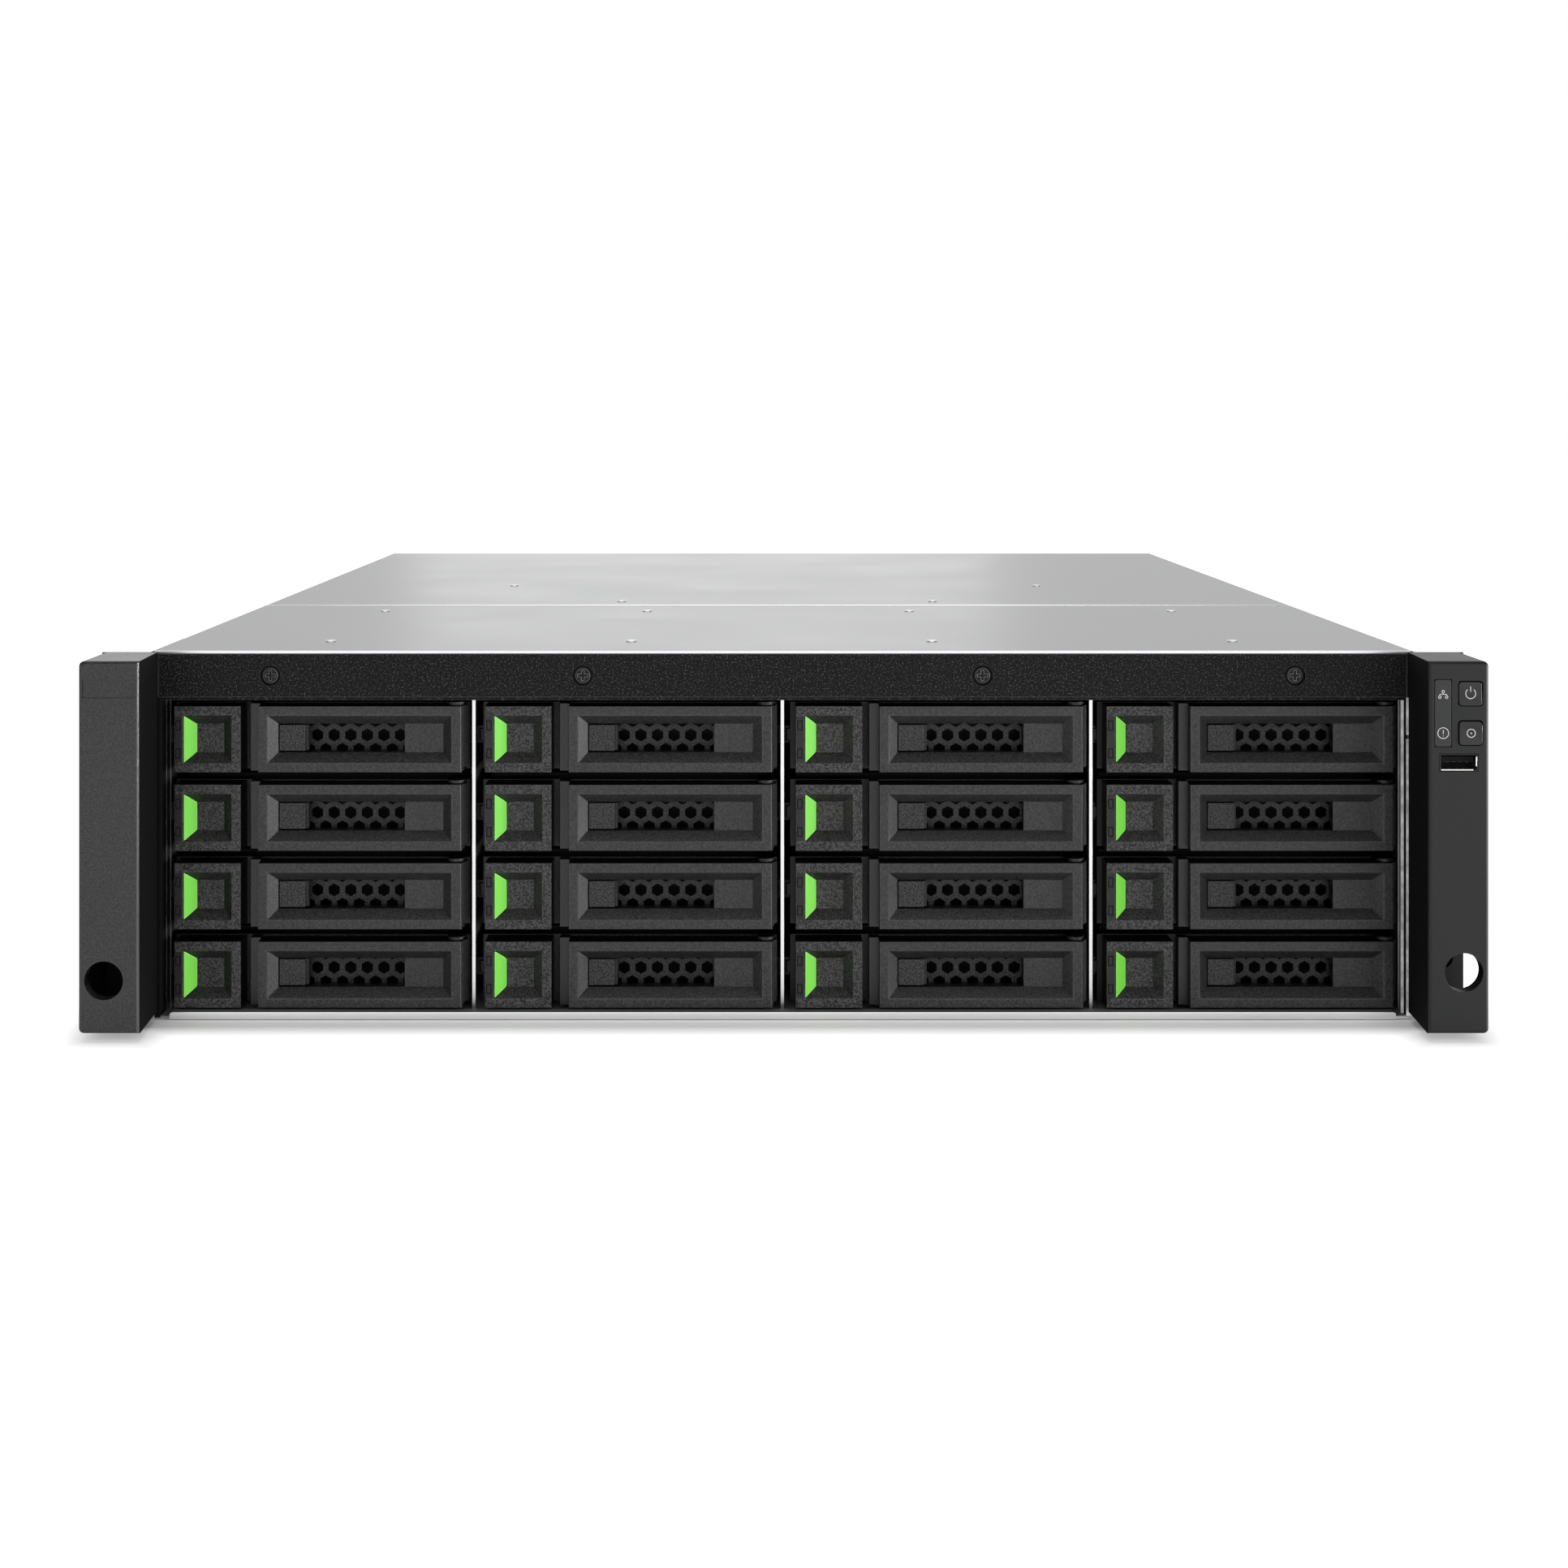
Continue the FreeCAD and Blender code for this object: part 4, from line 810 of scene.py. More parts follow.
left_ear_plastic = moulding("left_ear_plastic", tone(5, 4, 5), tone(42, 41, 41), relief=0.6, gloss=0.42)
right_ear_plastic = moulding("right_ear_plastic", tone(9, 11, 10), tone(15, 17, 16), relief=0.1, gloss=0.27)
for side, coat, way in (("left", left_ear_plastic, -1), ("right", right_ear_plastic, 1)):
    node = side + "_ear"
    ear = copy_of(node)
    low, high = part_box(node)
    outer = low.x if side == "left" else high.x
    hole = Vector((outer - way * HOLE_INSET, low.y, HOLE_HEIGHTS[side]))
    softened(ear, HOLE_EDGE, lambda end: (end - hole).length < HOLE_REACH)
    if side == "right":
        bevelled(ear, key_seats(ear), SEAT_CORNER, 3)
    # The inner sides get painted shade, and the tops and the left ear's inner front edge a painted highlight.
    paint_shade(ear, INNER_SHADE, lambda at, turn: -way * turn.x > INNER_SIDE)
    mark(ear, TOP_SHINE[side], lambda at, turn: turn.z > INNER_SIDE and at.z > high.z - TOP_REACH)
    mark(ear, RIM_SHINE[side], lambda at, turn: -way * turn.x > INNER_RIM and turn.y < -INNER_RIM)
    # A dark felt sheet on the inner sides, near their front, is a further painted shade.
    inner = min(abs(low.x), abs(high.x))
    shade_felt = bmesh.new()
    for face in ear.faces:
        if -way * face.normal.x > INNER_SIDE and abs(face.calc_center_median().x) < inner + FELT_REACH:
            shade_felt.faces.new([shade_felt.verts.new(vert.co) for vert in face.verts])
    proud(shade_felt, (-way * FELT_SHEET, 0, 0))
    piece("ear_shade_felt_" + side, shade_felt, shade_foam_black, "chassis", "bezel_coat")
    piece("ear_" + side, ear, coat, "chassis", "ear_plastic", node)
flange_paint = moulding("flange_paint", tone(9, 10, 10), tone(15, 16, 16), relief=0.1, rough=0.5, gloss=0.2)
repaint("rack_flanges", flange_paint)

# Rack nuts: round blackened steel nuts, pressed in behind the flanges' slots.
# The rack screws turn into them through the holes in the ears.
NUT_INSET = 0.00874
NUT_HEIGHT = 0.022
NUT = [(0.0021, 0.0), (0.0062, 0.0), (0.0062, 0.0016), (0.0021, 0.0016), (0.0021, 0.0)]
NUT_STEPS = 32
TURNED_STEPS = 24
FULL_TURN = 2 * math.pi


def turned(mesh, centre, profile, axis, steps=TURNED_STEPS):
    """Adds a turned part: a profile of radius and height spun round an axis at a centre."""
    out = Vector(axis).orthogonal().normalized()
    points = [Vector(centre) + out * radius + Vector(axis) * height for radius, height in profile]
    verts = [mesh.verts.new(point) for point in points]
    edges = [mesh.edges.new(pair) for pair in zip(verts, verts[1:])]
    bmesh.ops.spin(mesh, geom=verts + edges, cent=centre, axis=axis, angle=FULL_TURN, steps=steps,
                   use_merge=True)
    bmesh.ops.remove_doubles(mesh, verts=mesh.verts, dist=MERGED)
    bmesh.ops.recalc_face_normals(mesh, faces=mesh.faces)


low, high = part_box("rack_flanges")
nuts = bmesh.new()
for x in (low.x + NUT_INSET, high.x - NUT_INSET):
    turned(nuts, (x, 0, NUT_HEIGHT), NUT, (0, 1, 0), NUT_STEPS)
piece("rack_nuts", nuts, flange_paint, "chassis", "bezel_coat")

# Controls: two domed keys and an indicator window in the right ear, moulded in smooth dark plastic.
# Their symbols are printed in pale grey.
KEY_CORNER = 0.0011
KEY_RIM = 0.00035
KEY_DEPTH = 0.0008
DISHES = {"power_button": 0.0006, "locator_button": 0.0}
EDGES = {"power_button": -0.0006, "locator_button": 0.0007}
DISH_RISE = 0.003
WINDOW_CORNER = 0.0007
WINDOW_RIM = 0.00012
WINDOW_GAP = 0.00012
PRINT_SHEET = 0.00004
INK_ROOM = 0.00005
PRINT_LINE = 0.00022
PRINT_STEPS = 32


def arc(mesh, centre, radius, start=0.0, sweep=FULL_TURN):
    """Adds a printed line along part of a circle in the plane of the front."""
    way = Vector((math.cos(start), 0, math.sin(start)))
    ends = [mesh.verts.new(Vector(centre) + way * (radius + side * PRINT_LINE / 2)) for side in (-1, 1)]
    line = mesh.edges.new(ends)
    bmesh.ops.spin(mesh, geom=[*ends, line], cent=centre, axis=(0, -1, 0), angle=sweep, steps=PRINT_STEPS,
                   use_merge=sweep == FULL_TURN)


def stroke(mesh, start, end):
    """Adds a straight printed line in the plane of the front."""
    along = (Vector(end) - Vector(start)).normalized()
    across = Vector((along.z, 0, -along.x)) * PRINT_LINE / 2
    points = [Vector(start) - across, Vector(start) + across, Vector(end) + across, Vector(end) - across]
    mesh.faces.new([mesh.verts.new(point) for point in points])


def printed(name, mesh, body, slot):
    """A print with the thickness of a coat of ink."""
    proud(mesh, (0, -PRINT_SHEET, 0))
    piece(name, mesh, print_ink, body, slot)


def front_and_uprights(mesh, front):
    """The vertices of a block's front, and the corners that run back from it."""
    face = [vert for vert in mesh.verts if vert.co.y < front + FRONT_PLANE]
    return face, [edge for edge in corners(mesh) if len(set(edge.verts) & set(face)) == 1]


key_plastic = grained("key_plastic", 400.0, (tone(10, 11, 13), tone(16, 17, 19)), (0.19, 0.23), gloss=0.36)
print_ink = grained("print_ink", 3000.0, (grey(186), grey(212)), (0.5, 0.6), gloss=0.3)
window_plastic = moulding("window_plastic", tone(24, 25, 25), tone(28, 29, 29),
                          relief=0.03, grain=1600.0, rough=0.44, gloss=0.34)
for node in KEYS:
    cap = copy_of(node)
    low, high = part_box(node)
    face, upright = front_and_uprights(cap, low.y)
    bmesh.ops.translate(cap, verts=face, vec=(0, INK_ROOM + DISHES[node], 0))
    slope = low.z + DISH_RISE if node == "power_button" else high.z - DISH_RISE
    split(cap, (0, 0, slope), (0, 0, 1))
    outer = [vert for vert in face if (vert.co.z > slope) != (node == "power_button")]
    bmesh.ops.translate(cap, verts=outer, vec=(0, EDGES[node], 0))
    rounded(cap, upright, KEY_CORNER, 4)
    softened(cap, KEY_RIM, lambda end: end.y < low.y + KEY_DEPTH, steps=4)
    piece("key_" + node, cap, key_plastic, node, "key_plastic", node)

window = copy_of("status_window")
low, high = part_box("status_window")
upright = front_and_uprights(window, low.y)[1]
centre = (low + high) / 2
for vert in window.verts:
    vert.co.x -= math.copysign(WINDOW_GAP, vert.co.x - centre.x)
    vert.co.z -= math.copysign(WINDOW_GAP, vert.co.z - centre.z)
rounded(window, upright, WINDOW_CORNER, 3)
softened(window, WINDOW_RIM, lambda end: end.y < low.y + FRONT_PLANE)
piece("indicator_window", window, window_plastic, "chassis", "window_plastic", "status_window")

# Symbols: a network tree and an alert mark on the window, a power mark and a ring on the keys.
# Each is a coat of pale ink, put on with a soft pad.
TREE_TOP = 0.0041
TREE_BAR = 0.005
TREE_FOOT = 0.006
TREE_HALF = 0.00117
TREE_RING = 0.00042
ALERT_TOP = 0.0183
ALERT_RING = 0.00185
ALERT_STROKES = [(0.0011, -0.0003), (-0.0008, -0.0011)]
POWER_RING = 0.0017
POWER_GAP = math.radians(38)
POWER_STROKE = (0.0024, 0.0006)
RING_MARK = 0.0014


def upright_stroke(mesh, centre, start, end):
    """Adds an upright printed line between two heights over a centre."""
    stroke(mesh, centre + Vector((0, 0, start)), centre + Vector((0, 0, end)))


x = centre.x
y = low.y
signs = bmesh.new()
top = Vector((x, y, high.z - TREE_TOP))
bar_z = high.z - TREE_BAR
arc(signs, top, TREE_RING)
stroke(signs, (x, y, top.z - TREE_RING), (x, y, bar_z))
stroke(signs, (x - TREE_HALF, y, bar_z), (x + TREE_HALF, y, bar_z))
for side in (-1, 1):
    foot = Vector((x + side * TREE_HALF, y, high.z - TREE_FOOT))
    arc(signs, foot, TREE_RING)
    stroke(signs, (foot.x, y, bar_z), (foot.x, y, foot.z + TREE_RING))
alert = Vector((x, y, high.z - ALERT_TOP))
arc(signs, alert, ALERT_RING)
for start, end in ALERT_STROKES:
    upright_stroke(signs, alert, start, end)
printed("window_symbols", signs, "chassis", "window_plastic")
for node in KEYS:
    low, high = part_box(node)
    centre = Vector(((low.x + high.x) / 2, low.y + INK_ROOM + DISHES[node], (low.z + high.z) / 2))
    signs = bmesh.new()
    if node == "power_button":
        arc(signs, centre, POWER_RING, math.pi / 2 + POWER_GAP, FULL_TURN - 2 * POWER_GAP)
        upright_stroke(signs, centre, *POWER_STROKE)
    else:
        arc(signs, centre, RING_MARK)
        arc(signs, centre, PRINT_LINE / 2)
    printed("symbol_" + node, signs, node, "key_plastic")

# Data socket: a plated steel shell with a black tongue and four gilt contacts, under the keys.
# The shell is folded from thin sheet; the bright bars below and at the right of its rim are painted
# highlights.
SHELL_EDGE = 0.00012
CORE_DEPTH = 0.0045
CORE_WALL = 0.00045
CONTACTS = (-1.5, -0.5, 0.5, 1.5)
CONTACT_WIDTH = 0.001
CONTACT_PITCH = 0.0022
CONTACT_SHEET = 0.00015
RIM_SHEET = 0.0004
RIM_PROUD = 0.0001
RIM_END = 0.0016
RIM_ROUND = 0.0001


def bright_plate(flow, place):
    """Nickel plate with fine scuffs, dark grey on marked edges and forward faces as painted shade."""
    scuff = flow.noise(place, 900.0, 3.0)
    plate = flow.mix(scuff, (0.62, 0.62, 0.61, 1.0), (0.78, 0.78, 0.77, 1.0))
    return {"Base Color": flow.mix(flow.wear_and_painted_light(), plate, grey(48)),
            "Roughness": flow.grade(scuff, 0.18, 0.3)}


socket_metal = finish("socket_metal", bright_plate, metal=1.0)
rim_highlight_plate = steel("rim_highlight_plate", (0.6, 0.6, 0.58), (0.6, 0.6, 0.58), rough=0.45)
# The contacts' gilt is painted dark, as painted shade deep in the socket.
shaded_contact_gilt = grained("shaded_contact_gilt", 1500.0, ((0.04, 0.036, 0.03, 1.0), (0.08, 0.07, 0.055, 1.0)),
                       (0.2, 0.35), metal=1.0)
connector_plastic = moulding("connector_plastic", grey(4), grey(9),
                             relief=0.05, grain=1500.0, rough=0.6, gloss=0.08)
shell, tongue = solids_of("usb_port")
low, high = extent(shell)
tongue_low = extent(tongue)[0]
softened(shell, SHELL_EDGE, lambda end: end.y < low.y + FRONT_PLANE)
mark_cut_and_lit_faces(shell)
piece("data_socket_shell", shell, socket_metal, "chassis", "socket_metal", "usb_port")
softened(tongue, SHELL_EDGE)
core = bmesh.new()
block(core, low + Vector((CORE_WALL, CORE_DEPTH, CORE_WALL)),
      high - Vector((CORE_WALL, CORE_WALL, CORE_WALL)))
piece("data_socket_core", joined([tongue, core]), connector_plastic, "chassis", "connector_plastic")
contacts = bmesh.new()
for step in CONTACTS:
    x = (low.x + high.x) / 2 + step * CONTACT_PITCH
    block(contacts, (x - CONTACT_WIDTH / 2, tongue_low.y + CONTACT_WIDTH / 2, tongue_low.z - CONTACT_SHEET),
          (x + CONTACT_WIDTH / 2, low.y + CORE_DEPTH, tongue_low.z))
# Bright bars on the rim below and at the right are painted highlights.
highlight_rims = bars(RIM_ROUND,
            ((low.x + RIM_SHEET, low.y - RIM_PROUD, low.z + RIM_SHEET / 2),
             (high.x - RIM_END, low.y + RIM_SHEET, low.z + RIM_SHEET * 1.5)),
            ((high.x - RIM_END / 2, low.y - RIM_PROUD, low.z + RIM_END),
             (high.x - RIM_END / 2 + RIM_SHEET, low.y + RIM_SHEET, high.z - RIM_END / 2)))
piece("data_socket_highlight_rims", highlight_rims, rim_highlight_plate, "chassis", "socket_metal")
piece("data_socket_contacts", contacts, shaded_contact_gilt, "chassis", "socket_metal")

# Side fasteners: shoulder screws for the rack rails and small screws through the pan's walls into the covers.
# They are plated steel, with a round socket.
RAIL_HEAD = [(0.0, 0.0006), (0.0014, 0.0006), (0.0014, 0.0024), (0.0038, 0.0024), (0.0044, 0.0018),
             (0.0044, 0.0)]
COVER_HEAD = [(0.0, 0.0002), (0.0011, 0.0002), (0.0011, 0.0009), (0.0022, 0.0007), (0.0028, 0.0)]
SCREW_ROWS = [(RAIL_HEAD, 0.065, (0.07, 0.2, 0.33, 0.46)),
              (COVER_HEAD, 0.1256, (0.045, 0.14, 0.22, 0.35, 0.48))]
low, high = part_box("base_pan")
side_screws = bmesh.new()
for x, way in ((low.x, -1), (high.x, 1)):
    for profile, z, row in SCREW_ROWS:
        for y in row:
            turned(side_screws, (x, y, z), profile, (way, 0, 0))
screw_steel = steel("screw_steel", (0.6, 0.6, 0.61), (0.8, 0.8, 0.8), rough=0.24)
piece("side_screws", side_screws, screw_steel, "chassis", "fastener_steel")

# Boards: the backplane behind the bays and the small board behind the keys, of green glass fibre.
# The drives' sockets are soldered to the backplane's front.


def solder_mask(flow, place):
    """Green mask over copper tracks, which show as paler lines."""
    cells = flow.add("TexVoronoi", {"distance": "CHEBYCHEV"}, {"Vector": place, "Scale": 170.0},
                     out="Distance")
    tracks = flow.spread(cells, 0.34, 0.38)
    return {"Base Color": flow.mix(tracks, tone(18, 62, 42), tone(40, 96, 66)),
            "Roughness": flow.spread(tracks, 0.0, 1.0, 0.4, 0.3),
            "Normal": flow.bump(tracks, 0.3, 0.00005)}


circuit_board = finish("circuit_board", solder_mask, gloss=0.5)
repaint("backplane_board", circuit_board)
repaint("panel_board", circuit_board)
repaint("drive_sockets", connector_plastic)

# Power modules: folded steel cases with a pierced fan guard, which slide in at the rear beside the
# controllers. Each has a moulded fan frame, a mains inlet with three pins, a lamp and a green pull tab.
MODULE_LONG = 0.05
MODULE_EDGE = 0.0003
FAN_EDGE = 0.0006
INLET_LONG = 0.012
INLET_EDGE = 0.0006
GRIP_EDGE = 0.0014
CORE_EDGE = 0.0015
PIN_PLACES = [(-0.007, -0.002), (0.0, 0.002), (0.007, -0.002)]
PIN_SIZE = Vector((0.002, 0.011, 0.004))
PIN_ROUND = 0.0004
INLET_FLOOR = 0.002
FAN_SCREW = 0.0357
FAN_HEAD = [(0.0, 0.0006), (0.0012, 0.0006), (0.0012, 0.0014), (0.0026, 0.0011), (0.0032, 0.0)]
LAMP_DOME = [(0.0, 0.001), (0.0008, 0.0009), (0.0014, 0.0005), (0.0016, 0.0)]
LAMP_PLACE = 0.172
module_steel = steel("module_steel", (0.3, 0.303, 0.31), (0.55, 0.55, 0.55), rough=0.34, glance=0.7)
fan_plastic = moulding("fan_plastic", grey(16), grey(30), relief=0.1, grain=900.0, rough=0.42)
core_plastic = moulding("core_plastic", tone(34, 32, 26), tone(64, 60, 48),
                        relief=0.2, grain=500.0, rough=0.5)
lamp_lens = grained("lamp_lens", 500.0, (tone(70, 150, 60), tone(130, 210, 110)), (0.12, 0.2), gloss=0.6,
                    others={"Coat Weight": 0.4})
for side, way in (("left", -1), ("right", 1)):
    node = "power_module_" + side
    case, fan, inlet, grip, core = solids_of(node)
    face = extent(case)[1].y
    hub = middle_of(fan)
    plug = middle_of(inlet)
    inlet_floor = extent(inlet)[0].y + INLET_FLOOR
    softened(case, MODULE_EDGE, shortest=MODULE_LONG)
    piece("module_case_" + side, case, module_steel, node, "module_steel", node)
    softened(fan, FAN_EDGE, shortest=LONG_EDGE)
    piece("module_fan_" + side, fan, fan_plastic, node, "fan_plastic")
    softened(inlet, INLET_EDGE, shortest=INLET_LONG)
    piece("module_inlet_" + side, inlet, fan_plastic, node, "connector_plastic")
    softened(grip, GRIP_EDGE, steps=3)
    piece("module_grip_" + side, grip, release_plastic, node, "release_plastic")
    softened(core, CORE_EDGE, steps=3)
    piece("module_core_" + side, core, core_plastic, node, "connector_plastic")
    starts = [Vector((plug.x + x - PIN_SIZE.x / 2, inlet_floor, plug.z + z - PIN_SIZE.z / 2))
              for x, z in PIN_PLACES]
    pins = bars(PIN_ROUND, *((start, start + PIN_SIZE) for start in starts))
    piece("module_pins_" + side, pins, socket_metal, node, "socket_metal")
    screws = bmesh.new()
    for x, z in ((-1, -1), (-1, 1), (1, -1), (1, 1)):
        turned(screws, (hub.x + x * FAN_SCREW, face, hub.z + z * FAN_SCREW), FAN_HEAD, (0, 1, 0))
    piece("module_screws_" + side, screws, screw_steel, node, "fastener_steel")
    lamp = bmesh.new()
    turned(lamp, (way * LAMP_PLACE, face, plug.z), LAMP_DOME, (0, 1, 0))
    piece("module_lamp_" + side, lamp, lamp_lens, node, "window_plastic")
    repaint("fan_rotor_" + side, fan_plastic)

# Controllers: folded trays that slide in one over the other, with a board on brass posts under a finned sink.
# Two network jacks and two fibre cages open to the rear, and two knurled thumbscrews hold the tray.
FIN_EDGE = 0.0002
PORT_EDGE = 0.00015
PORT_LONG = 0.006
JACK_ROOM = Vector((0.00215, 0.0085, 0.0027))
JACK_POCKET = 0.0009
JACK_DEPTH = 0.0105
CAGE_ROOM = Vector((0.00085, 0.0075, 0.00095))
CAGE_START = 0.014
PORT_LAMP = Vector((0.0026, 0.0005, 0.0014))
KNOB_PROFILE = [(0.0, 0.0094), (0.0009, 0.0094), (0.0009, 0.01), (0.0034, 0.01), (0.0038, 0.0096),
                (0.0045, 0.009), (0.0045, 0.0036), (0.0036, 0.003), (0.0036, 0.0)]
KNOB_STEPS = 36
KNURL = 0.9
KNURL_RADIUS = 0.0042


def pocket(mesh, verts, margin, depth):
    """Sinks a pocket into the rear face of a box."""
    rear = max({face for vert in verts for face in vert.link_faces}, key=lambda face: face.normal.y)
    step_in(mesh, rear, margin)
    walls = bmesh.ops.extrude_face_region(mesh, geom=[rear])["geom"]
    sunk = verts_in(walls)
    bmesh.ops.delete(mesh, geom=[rear], context="FACES_ONLY")
    bmesh.ops.translate(mesh, verts=sunk, vec=(0, -depth, 0))


def knurled(centre):
    """A thumbscrew with a knurled rim."""
    knob = bmesh.new()
    turned(knob, centre, KNOB_PROFILE, (0, 1, 0), KNOB_STEPS)
    for vert in knob.verts:
        out = Vector((vert.co.x - centre[0], 0, vert.co.z - centre[2]))
        step = round(math.atan2(out.z, out.x) / (FULL_TURN / KNOB_STEPS))
        if out.length > KNURL_RADIUS and step % 2:
            vert.co -= out * (1 - KNURL)
    return knob


sink_metal = grained("sink_metal", 800.0, (tone(62, 62, 64), tone(84, 84, 86)), (0.35, 0.45), metal=1.0)
post_brass = grained("post_brass", 1200.0, ((0.55, 0.38, 0.14, 1.0), (0.7, 0.5, 0.22, 1.0)), (0.28, 0.4),
                     metal=1.0)
boards = {}
for node in ("controller_lower", "controller_upper"):
    solids = sorted(solids_of(node), key=lambda mesh: extent(mesh)[0].x - extent(mesh)[1].x)
    tray, boards[node], sink, *small = solids
    jacks, cages, knobs, posts = small[:2], small[2:4], small[4:6], small[6:]
    face = extent(tray)[1].y
    softened(tray, MODULE_EDGE, shortest=MODULE_LONG)
    piece(node + "_tray", tray, module_steel, node, "module_steel", node)
    softened(sink, FIN_EDGE, shortest=LONG_EDGE)
    piece(node + "_sink", sink, sink_metal, node, "module_steel")
    cores = bmesh.new()
    lamps = []
    for port in jacks:
        low, high = extent(port)
        room = block(cores, low + JACK_ROOM, (high.x - JACK_ROOM.x, high.y - PORT_EDGE, high.z - JACK_ROOM.z))
        pocket(cores, room, JACK_POCKET, JACK_DEPTH)
        for x in (low.x + PORT_EDGE, high.x - PORT_LAMP.x - PORT_EDGE):
            corner = Vector((x, face, high.z - PORT_LAMP.z - PORT_EDGE))
            lamps.append((corner, corner + PORT_LAMP))
    for port in cages:
        low, high = extent(port)
        block(cores, low + CAGE_ROOM, (high.x - CAGE_ROOM.x, high.y - CAGE_START, high.z - CAGE_ROOM.z))
    for port in jacks + cages:
        softened(port, PORT_EDGE, shortest=PORT_LONG)
    piece(node + "_ports", joined(jacks + cages), socket_metal, node, "socket_metal")
    piece(node + "_port_cores", cores, connector_plastic, node, "connector_plastic")
    piece(node + "_port_lamps", bars(PORT_EDGE, *lamps), lamp_lens, node, "window_plastic")
    middles = [middle_of(knob) for knob in knobs]
    for knob in knobs:
        knob.free()
    screws = joined([knurled((middle.x, face, middle.z)) for middle in middles])
    piece(node + "_thumbscrews", screws, screw_steel, node, "fastener_steel")
    piece(node + "_posts", joined(posts), post_brass, node, "fastener_steel")

# Controllers' boards: green glass fibre with memory modules in their sockets, chips, capacitors, a coin cell
# and the connector that meets the backplane.
BOARD_EDGE = 0.0003
MEMORY_PLACES = [0.052, 0.0605, 0.069, 0.0775]
MEMORY_START = 0.315
MEMORY_LENGTH = 0.133
MEMORY_HALF = 0.0006
MEMORY_HEIGHT = 0.03
MEMORY_RISE = 0.003
SOCKET_HALF = 0.0033
SOCKET_HEIGHT = 0.006
MEMORY_CHIPS = 9
MEMORY_CHIP = Vector((0.0009, 0.0105, 0.012))
CHIPS = [(-0.075, 0.3, 0.03, 0.0025), (-0.075, 0.25, 0.022, 0.002), (-0.03, 0.26, 0.026, 0.0025),
         (0.025, 0.27, 0.018, 0.0018), (-0.085, 0.42, 0.016, 0.0018), (-0.06, 0.45, 0.014, 0.0015),
         (0.09, 0.27, 0.014, 0.0015), (0.06, 0.25, 0.02, 0.002)]
CAPACITORS = [(-0.05, 0.33 + 0.012 * number) for number in range(8)] + [(0.045, 0.44), (0.045, 0.452)]
CAPACITOR = [(0.0, 0.01), (0.0032, 0.01), (0.0038, 0.0094), (0.0038, 0.0016), (0.0036, 0.0012), (0.0038, 0.0)]
CELL_PLACE = (-0.085, 0.36)
CELL = [(0.0, 0.005), (0.009, 0.005), (0.01, 0.0042), (0.01, 0.0032), (0.0115, 0.0032), (0.0115, 0.0)]
EDGE_CONNECTOR = Vector((0.06, 0.009, 0.014))
chip_black = grained("chip_black", 1500.0, (tone(24, 24, 25), tone(42, 42, 43)), (0.5, 0.65), gloss=0.4)
for node, board in boards.items():
    low, high = extent(board)
    softened(board, BOARD_EDGE, shortest=LONG_EDGE)
    memory = bmesh.new()
    chips = bmesh.new()
    cans = bmesh.new()
    for x in MEMORY_PLACES:
        end = MEMORY_START + MEMORY_LENGTH
        block(memory, (x - MEMORY_HALF, MEMORY_START, high.z + MEMORY_RISE),
              (x + MEMORY_HALF, end, high.z + MEMORY_RISE + MEMORY_HEIGHT))
        block(chips, (x - SOCKET_HALF, MEMORY_START - SOCKET_HEIGHT, high.z),
              (x + SOCKET_HALF, end + SOCKET_HEIGHT, high.z + SOCKET_HEIGHT))
        for number in range(MEMORY_CHIPS):
            y = MEMORY_START + MEMORY_CHIP.y / 2 + number * MEMORY_LENGTH / MEMORY_CHIPS
            corner = Vector((x + MEMORY_HALF, y, high.z + MEMORY_HEIGHT / 2 + MEMORY_RISE))
            block(chips, corner, corner + MEMORY_CHIP)
    for x, y, size, thick in CHIPS:
        block(chips, (x - size / 2, y - size / 2, high.z), (x + size / 2, y + size / 2, high.z + thick))
    block(chips, (-EDGE_CONNECTOR.x, low.y, high.z),
          (EDGE_CONNECTOR.x, low.y + EDGE_CONNECTOR.y, high.z + EDGE_CONNECTOR.z))
    for x, y in CAPACITORS:
        turned(cans, (x, y, high.z), CAPACITOR, (0, 0, 1))
    turned(cans, (*CELL_PLACE, high.z), CELL, (0, 0, 1))
    softened(memory, BOARD_EDGE, shortest=LONG_EDGE)
    softened(chips, BOARD_EDGE)
    piece(node + "_board", joined([board, memory]), circuit_board, node, "circuit_board")
    piece(node + "_chips", chips, chip_black, node, "connector_plastic")
    piece(node + "_capacitors", cans, screw_steel, node, "fastener_steel")

# Floor: a plain white table top that keeps the object's shadow and runs out into white all round.
# It is matt, and glows to the camera and in metal; the glow fades close to the ears and the case, a painted
# shadow.
FLOOR_HALF = 8.0
FLOOR_DROP = 0.0003
FLOOR_SHADE = 0.9
EAR_GLOW = 0.28
EAR_REACH = 0.024
CASE_START = 0.008
CASE_REACH = 0.03
floor_mesh = bmesh.new()
bmesh.ops.create_grid(floor_mesh, x_segments=1, y_segments=1, size=FLOOR_HALF)
bmesh.ops.translate(floor_mesh, verts=floor_mesh.verts, vec=(0, 0, -FLOOR_DROP))
floor_data = bpy.data.meshes.new("floor")
floor_mesh.to_mesh(floor_data)
floor_mesh.free()
floor = bpy.data.objects.new("floor", floor_data)
bpy.context.scene.collection.objects.link(floor)


def ray(flow, kind):
    """One for rays of a kind, and nought for the rest."""
    return flow.add("LightPath", out="Is %s Ray" % kind)


def largest(first, *others):
    """The largest of several values."""
    for other in others:
        first = first.sum("MAXIMUM", first, other)
    return first


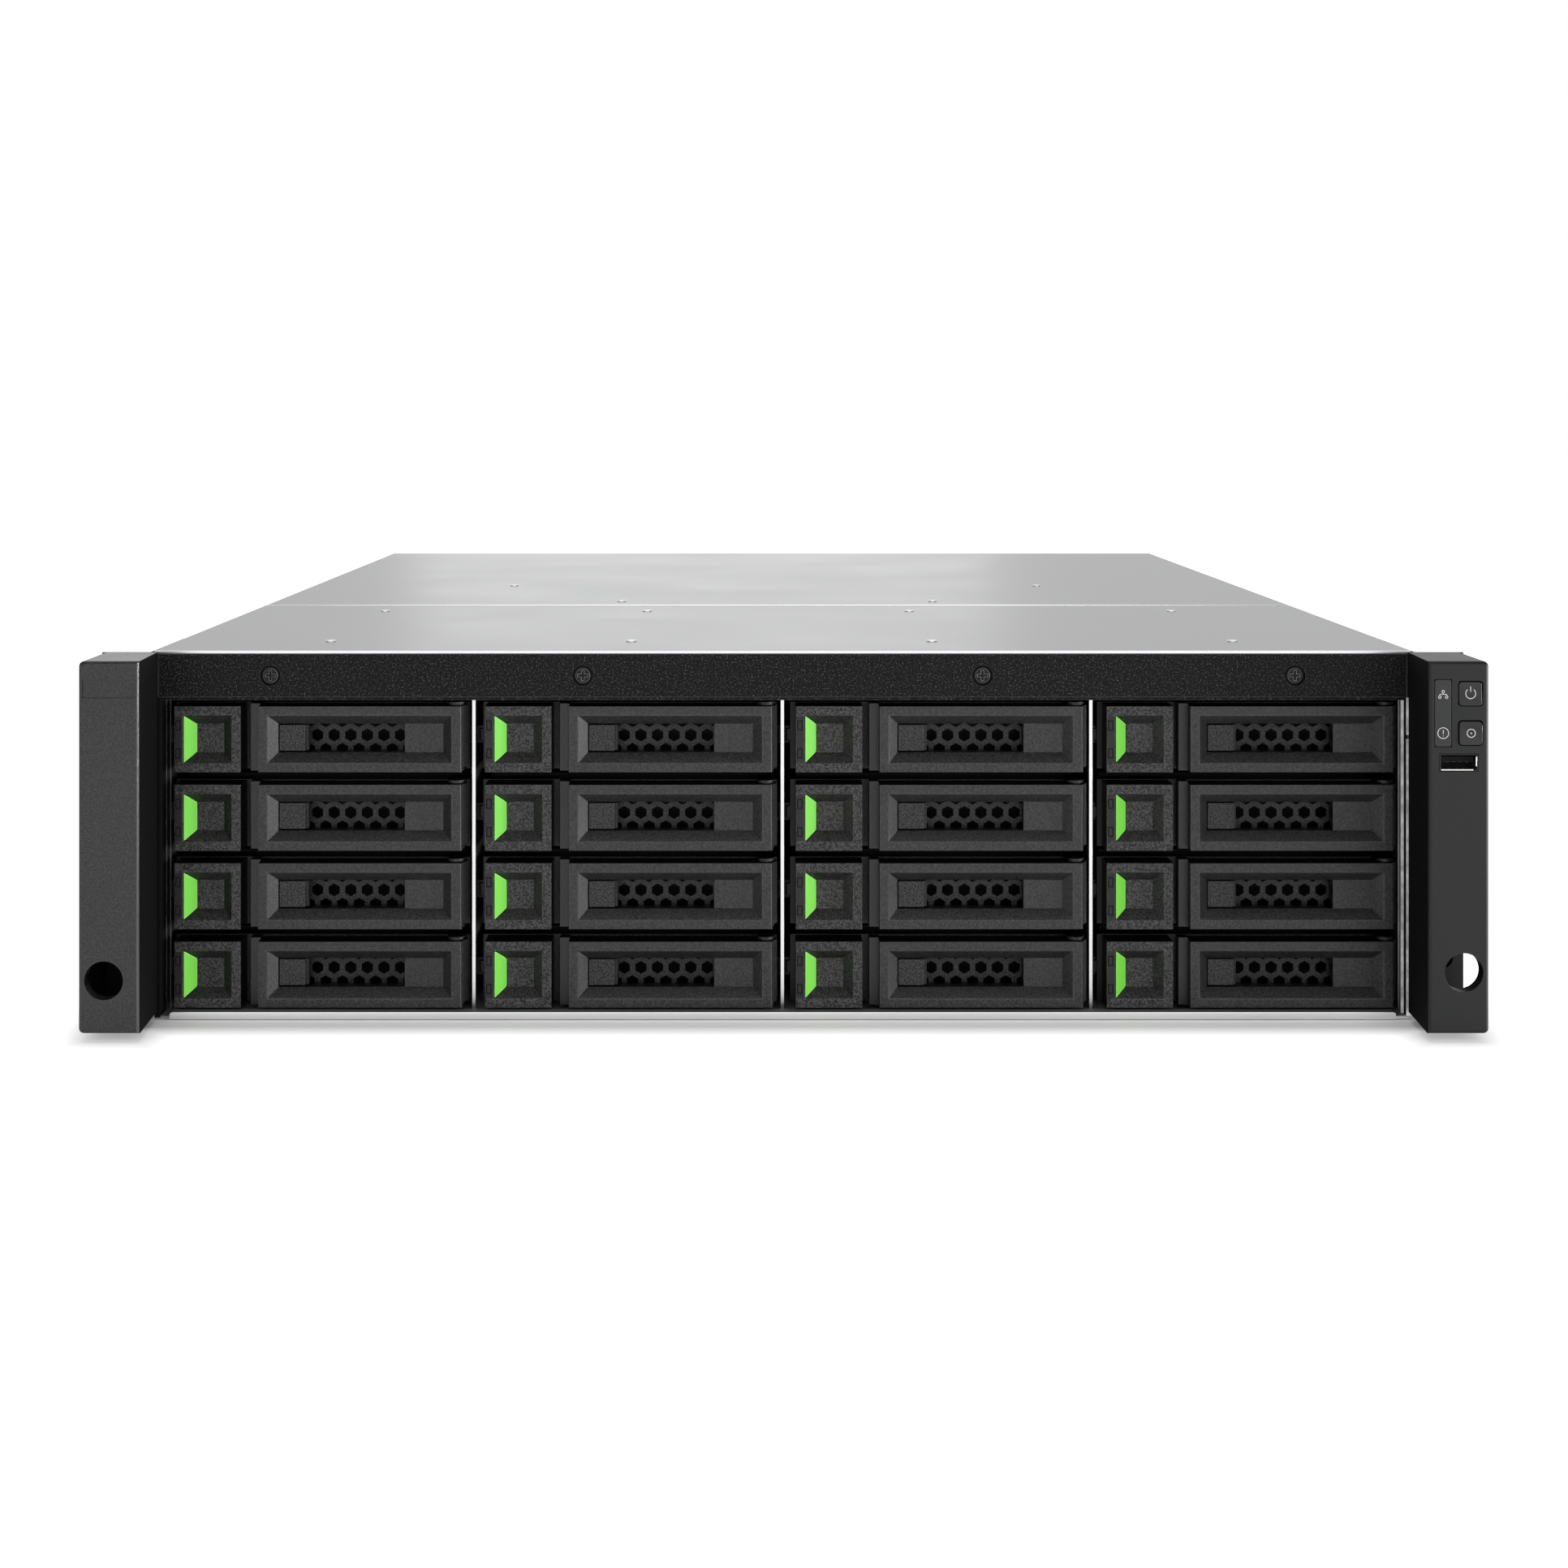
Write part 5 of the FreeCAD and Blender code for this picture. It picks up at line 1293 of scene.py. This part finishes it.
white_floor = bpy.data.materials.new("white_floor")
white_floor.use_nodes = True
tree = white_floor.node_tree
tree.nodes.remove(tree.nodes["Principled BSDF"])
flow = Flow(tree)
place = flow.add("TexCoord", out="Object")
across = flow.add("SeparateXYZ", {}, {0: place}, out="X")
along = flow.add("SeparateXYZ", {}, {0: place}, out="Y")
side = largest(across, 0 - across)
ear_low, ear_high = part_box("right_ear")
case_low, case_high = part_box("base_pan")
from_ear = largest(ear_low.x - side, side - ear_high.x, ear_low.y - along, along - ear_high.y)
from_case = largest(side - case_high.x, case_low.y - along, along - cad_box[1][1])
ear_painted_shadow = flow.spread(from_ear, 0.0, EAR_REACH, EAR_GLOW, 1.0)
case_painted_shadow = flow.spread(from_case, CASE_START, CASE_REACH)
shown = largest(ray(flow, "Camera"), ray(flow, "Transmission"), ray(flow, "Glossy"))
glow = flow.add("Emission", {}, {"Strength": shown * ear_painted_shadow.sum("MINIMUM", ear_painted_shadow, case_painted_shadow)})
matt = flow.add("BsdfDiffuse", {}, {"Color": (FLOOR_SHADE, FLOOR_SHADE, FLOOR_SHADE, 1.0)})
lit = flow.add("AddShader", {}, {0: glow, 1: matt})
tree.links.new(lit.socket, tree.nodes["Material Output"].inputs["Surface"])
floor_data.materials.append(white_floor)

# Light: a white room behind and a dimmer one in front, and four soft boxes: a wide one over the camera,
# one overhead, a long low one at the right, below the covers' level, that picks out the recesses,
# and a faint one far behind that lights the covers' middle.
ROOM_FILL = 0.45
ROOM_FRONT = 0.13
ROOM_EDGE = (-0.1, 0.6)
SOFT_BOXES = {  # place, target, width, height and watts
    "front_box": ((0.1, -1.8, 0.8), (0.0, 0.0, 0.06), 4.0, 1.45, 27.5),
    "top_box": ((0.0, -0.3, 2.4), (0.0, -0.1, 0.0), 1.2, 1.2, 8.0),
    "right_box": ((1.7, -0.45, 0.07), (-0.15, 0.0, 0.06), 0.8, 0.12, 27.0),
    "back_box": ((-0.08, 2.2, 0.45), (0.0, 0.2, 0.13), 0.8, 0.35, 1.0)}
world = bpy.data.worlds.new("white_room")
bpy.context.scene.world = world
world.use_nodes = True
tree = world.node_tree
flow = Flow(tree)
ahead = flow.add("SeparateXYZ", {}, {0: flow.add("TexCoord", out="Generated")}, out="Y")
mirrored_room = ray(flow, "Glossy") * flow.spread(ahead, *ROOM_EDGE, ROOM_FRONT, 1.0)
strength = largest(ray(flow, "Camera"), ray(flow, "Transmission"), mirrored_room,
                   (1 - ray(flow, "Glossy")) * ROOM_FILL)
tree.links.new(strength.socket, tree.nodes["Background"].inputs["Strength"])
tree.nodes["Background"].inputs["Color"].default_value = (1.0, 1.0, 1.0, 1.0)
for name, (place, target, width, height, power) in SOFT_BOXES.items():
    lamp = bpy.data.lights.new(name, "AREA")
    lamp.shape = "RECTANGLE"
    lamp.size = width
    lamp.size_y = height
    lamp.energy = power
    holder = bpy.data.objects.new(name, lamp)
    bpy.context.scene.collection.objects.link(holder)
    holder.location = place
    holder.rotation_euler = (Vector(target) - Vector(place)).to_track_quat("-Z", "Y").to_euler()
    holder.visible_camera = False

# Camera: square to the front and above the case, with the lens shifted down as in a product picture.
# Its focal length, shift and place come from the perspective of the case, in pixels of the whole frame.
SENSOR = 36.0
PICTURE = 1932
FOCAL_PIXELS = 2654
AXIS_PIXEL = (930.3, 501.45)
CAMERA_PLACE = (-0.0098, -0.765, 0.2174)
camera_data = bpy.data.cameras.new("camera")
camera_data.sensor_width = SENSOR
camera_data.lens = SENSOR * FOCAL_PIXELS / PICTURE
camera_data.shift_x = (PICTURE / 2 - AXIS_PIXEL[0]) / PICTURE
camera_data.shift_y = (AXIS_PIXEL[1] - PICTURE / 2) / PICTURE
camera = bpy.data.objects.new("camera", camera_data)
bpy.context.scene.collection.objects.link(camera)
camera.location = CAMERA_PLACE
camera.rotation_euler = (math.pi / 2, 0.0, 0.0)
bpy.context.scene.camera = camera
bpy.context.scene.view_settings.view_transform = "Standard"
